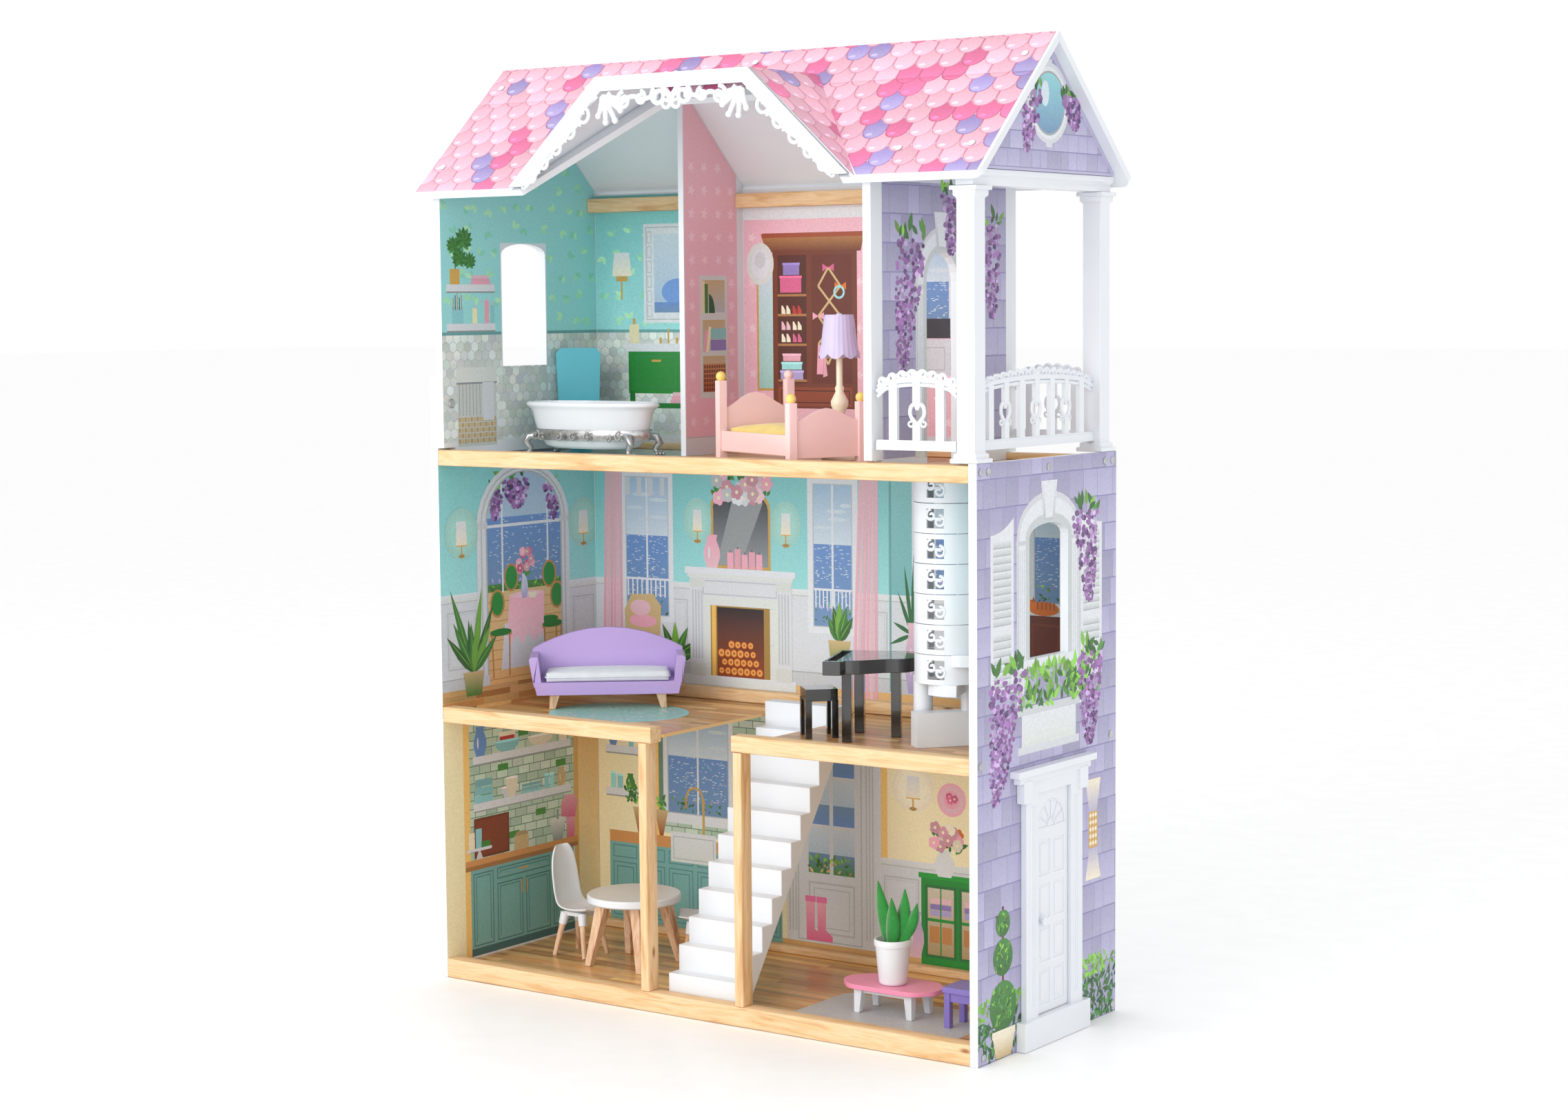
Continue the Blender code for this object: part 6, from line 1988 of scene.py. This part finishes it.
def lamp():
    """A turned stand, a pleated shade with a scalloped hem, and a finial."""
    centre, _ = feature("lamp_base")
    profile = [(23, 0), (23.5, 2), (22, 5), (15, 7), (8, 9), (6, 12), (7, 15), (5, 18), (6, 24), (9, 31),
               (9.5, 38), (7, 44), (5, 48), (6.5, 53), (6.5, 57), (8, 62), (11, 69), (11, 74), (8, 80),
               (5, 86), (6, 90), (4, 94), (4, 118), (4, 172), (7, 172.5), (7, 175), (3, 176)]
    solid("lamp_stand", [turned(profile, 40)], paint("cream", 0.35), "lamp", (*centre, UPPER + 0.3), 0, 0,
          ("lamp_base",), 50)
    low, high = span("lamp_shade")
    rise = high.z - low.z
    bm = bmesh.new()
    sides, rings = 96, []
    # Up the outside of the shade and down its inside.
    for radius, level in ((26, 0), (24.6, 7), (22.4, 20), (20.4, 38), (19, rise - 6), (18, rise), (17, rise),
                          (17.6, rise - 6), (19.2, 38), (21.2, 20), (23.5, 7), (25, 1)):
        wave = max(0.0, 1 - level / 12)
        ring = []
        for i in range(sides):
            turn = math.tau * i / sides
            scallop = abs(math.sin(4 * turn))
            pleat = 1 + 0.012 * math.cos(24 * turn)
            ring.append(bm.verts.new((radius * pleat * math.cos(turn), radius * pleat * math.sin(turn),
                                      level + wave * 6 * (1 - scallop))))
        rings.append(ring)
    for a_ring, b_ring in zip(rings, rings[1:] + rings[:1]):
        for i in range(sides):
            j = (i + 1) % sides
            bm.faces.new((a_ring[i], a_ring[j], b_ring[j], b_ring[i]))
    crown = turned([(17.8, rise - 2), (17.8, rise - 0.5), (3.5, rise - 0.2), (3.5, rise)], 40)
    solid("scalloped_shade", [bm, crown], paint("lamp shade", 0.5), "lamp", (*centre, low.z), 0, 0,
          ("lamp_shade",), 60)
    knob = turned([(2.5, rise), (2.5, rise + 1), (4.4, rise + 3), (4.8, rise + 6), (3.6, rise + 9),
                   (0.5, rise + 10.5)], 24)
    solid("lamp_finial", [knob], paint("white", 0.3), "lamp", (*centre, low.z - 8), 0, 0)


def sofa():
    softened("sofa_body", paint("sofa", 0.4), "sofa", 1.4,
             [(pine("Z", "beech"), lambda x, y, z: z < MID + 19.5)])
    blanket("sofa_cushion", "sofa", (160.5, 159.3), 38.7, (-84, 2, 36), (84, 64, 48.5), "white")


def piano():
    softened("piano_body", lacquer(), "piano", 0.7)
    softened("piano_stool", lacquer(), "piano_seat", 0.8)


def tables():
    top = span("dining_table")[1].z
    softened("dining_table", pine("Z", "beech"), "table", 0.8,
             [(paint("white", 0.3), lambda x, y, z: z > top - 11.4)])
    top = span("coffee_table")[1].z
    softened("coffee_table", paint("white", 0.35), "low_table", 0.9,
             [(paint("table top", 0.35), lambda x, y, z: z > top - 6.3)])
    softened("side_stool", paint("stool", 0.38), "stool", 0.9)


def chair(node, body, at, turn):
    """A shell chair: one smooth seat and back, and four splayed legs in white sockets."""
    side = [(30, 60, 22), (33, 64, 25), (26, 63.5, 27), (8, 61, 27.5), (-10, 62, 27.5), (-22, 70, 27),
            (-27, 88, 26.5), (-30.5, 112, 26), (-33, 134, 22), (-34.5, 146, 12)]
    bm = bmesh.new()
    columns = 12
    rings = []
    for x, z, half in side:
        ring = []
        for i in range(columns + 1):
            y = 2 * i / columns - 1
            dish = 5.5 * abs(y) ** 2.4
            upright = min(1.0, max(0.0, (-x - 10) / 16))
            ring.append(bm.verts.new((x + dish * upright, y * half, z + dish * (1 - upright))))
        rings.append(ring)
    for low, high in zip(rings, rings[1:]):
        for a, b, c, d in zip(low, low[1:], high[1:], high):
            bm.faces.new((a, b, c, d))
    shell = solid(node + "_shell", [bm], paint("white", 0.3), body, (*at, GROUND + 0.3), turn, 0, (node,),
                  180)
    thick = shell.modifiers.new("wall", "SOLIDIFY")
    thick.thickness, thick.offset = 3.0 * MM, 1.0
    smooth = shell.modifiers.new("smooth", "SUBSURF")
    smooth.levels = smooth.render_levels = 2
    sockets, legs = [block((-17, -17, 54), (17, 17, 59.5))], []
    for x in (-1, 1):
        for y in (-1, 1):
            foot, knee, hip = ((x * 25.5, y * 24.5, 0), (x * 17.5, y * 17, 42), (x * 14.5, y * 14, 58))
            legs.append(tube([foot, knee], [3.0, 4.3], 12))
            sockets.append(tube([knee, hip], [5.4, 6.6], 14))
    solid(node + "_sockets", sockets, paint("white", 0.3), body, (*at, GROUND + 0.3), turn, 0.6)
    solid(node + "_legs", legs, pine("Z", "beech"), body, (*at, GROUND + 0.3), turn, 0)


def plant():
    """A pot with a rolled rim, its filling and five felt leaves."""
    centre, foot = feature("plant_pot")
    profile = [(15, 0), (16.6, 1), (17.4, 4), (20, 30), (21.4, 46), (21.6, 47.5), (23, 48), (23.3, 50),
               (23.3, 55), (22.6, 56), (20.6, 56), (20.2, 54), (19, 42), (0.1, 42)]
    solid("pot", [turned(profile, 56, closed=False)], paint("white", 0.3), "plant", (*centre, foot), 0, 0,
          ("plant_pot",), 50)
    filling = turned([(19.6, 36), (19.4, 45), (12, 46), (0.1, 46.5)], 32)
    solid("pot_filling", [filling], felt("dark leaf"), "plant", (*centre, foot))
    shapes = []
    stands = (((-5, 0), (-19, -3), 126, 21, -8), ((3, 1), (17, 2), 119, 21, 8),
              ((0, -2), (3, -7), 108, 19, 0), ((7, 0), (34, 3), 103, 18, 12),
              ((-2, 3), (-6, 8), 96, 17, -3))
    for (x0, y0), (x1, y1), tall, wide, bow in stands:
        bm = bmesh.new()
        rings = []
        for i in range(13):
            share = i / 12
            half = wide / 2 * math.sin(math.pi * min(1.0, 0.12 + 0.88 * share) ** 0.9) + 0.15
            middle = Vector((x0 + (x1 - x0) * share ** 1.4 + bow * math.sin(math.pi * share) * 0.5,
                             y0 + (y1 - y0) * share, 44 + (tall - 44) * share))
            cup = 3.4 * math.sin(math.pi * share)
            rings.append([bm.verts.new(middle + Vector((half * c, abs(c) * cup, 0)))
                          for c in (-1, -0.5, 0, 0.5, 1)])
        for low, high in zip(rings, rings[1:]):
            for a, b, c, d in zip(low, low[1:], high[1:], high):
                bm.faces.new((a, b, c, d))
        shapes.append(bm)
    leaves = solid("felt_leaves", shapes, felt("vivid green"), "plant", (*centre, foot), 0, 0,
                   ("plant_leaves",), 180)
    thick = leaves.modifiers.new("felt", "SOLIDIFY")
    thick.thickness, thick.offset = 1.6 * MM, 0.0


def furniture():
    bed()
    tub()
    toilet()
    lamp()
    sofa()
    piano()
    tables()
    chair("chair_1", "chair_left", (113, 153), 0)
    chair("chair_2", "chair_right", (283, 200), 215)
    plant()


# ---------------------------------------------------------------- studio


def studio():
    """A plain pale sweep, a big soft light at the front and an even white surround."""
    low, high = (Vector(corner) for corner in start_bounds)
    middle = (low + high) / 2
    bpy.ops.mesh.primitive_plane_add(size=90, location=(middle.x, middle.y, low.z - 0.0005))
    floor = bpy.context.object
    floor.name = "studio_floor"
    floor.data.materials.append(paint("paper", 0.7))
    world = bpy.data.worlds.new("studio")
    world.use_nodes = True
    world.node_tree.nodes["Background"].inputs["Color"].default_value = (1, 1, 1, 1)
    world.node_tree.nodes["Background"].inputs["Strength"].default_value = 1.0
    bpy.context.scene.world = world
    for name, place, power, size in (("key", (-0.6, -3.6, 1.9), 60, 2.4), ("fill", (1.6, -3.2, 1.0), 12, 2.4),
                                     ("right", (3.4, 0.2, 1.8), 1, 2.0), ("top", (0.2, -0.6, 3.4), 3, 2.4)):
        light = bpy.data.lights.new(name, "AREA")
        light.energy, light.size = power, size
        made = bpy.data.objects.new(name, light)
        made.location = place
        made.rotation_euler = (middle - Vector(place)).to_track_quat("-Z", "Y").to_euler()
        bpy.context.scene.collection.objects.link(made)


def camera():
    lens = bpy.data.cameras.new("camera")
    lens.lens, lens.sensor_width = 65.45, 36
    made = bpy.data.objects.new("camera", lens)
    made.location = (2.1018, -2.9239, 0.8816)
    made.rotation_euler = [math.radians(angle) for angle in (84.877, 0.488, 35.276)]
    bpy.context.scene.collection.objects.link(made)
    bpy.context.scene.camera = made
    bpy.context.scene.view_settings.view_transform = "Standard"


structure()
trim()
railing("railing_front", 0)
railing("railing_back", 0)
railing("railing_side", 1)
drum()
door_details()
screws()
furniture()
pictures()
studio()
camera()
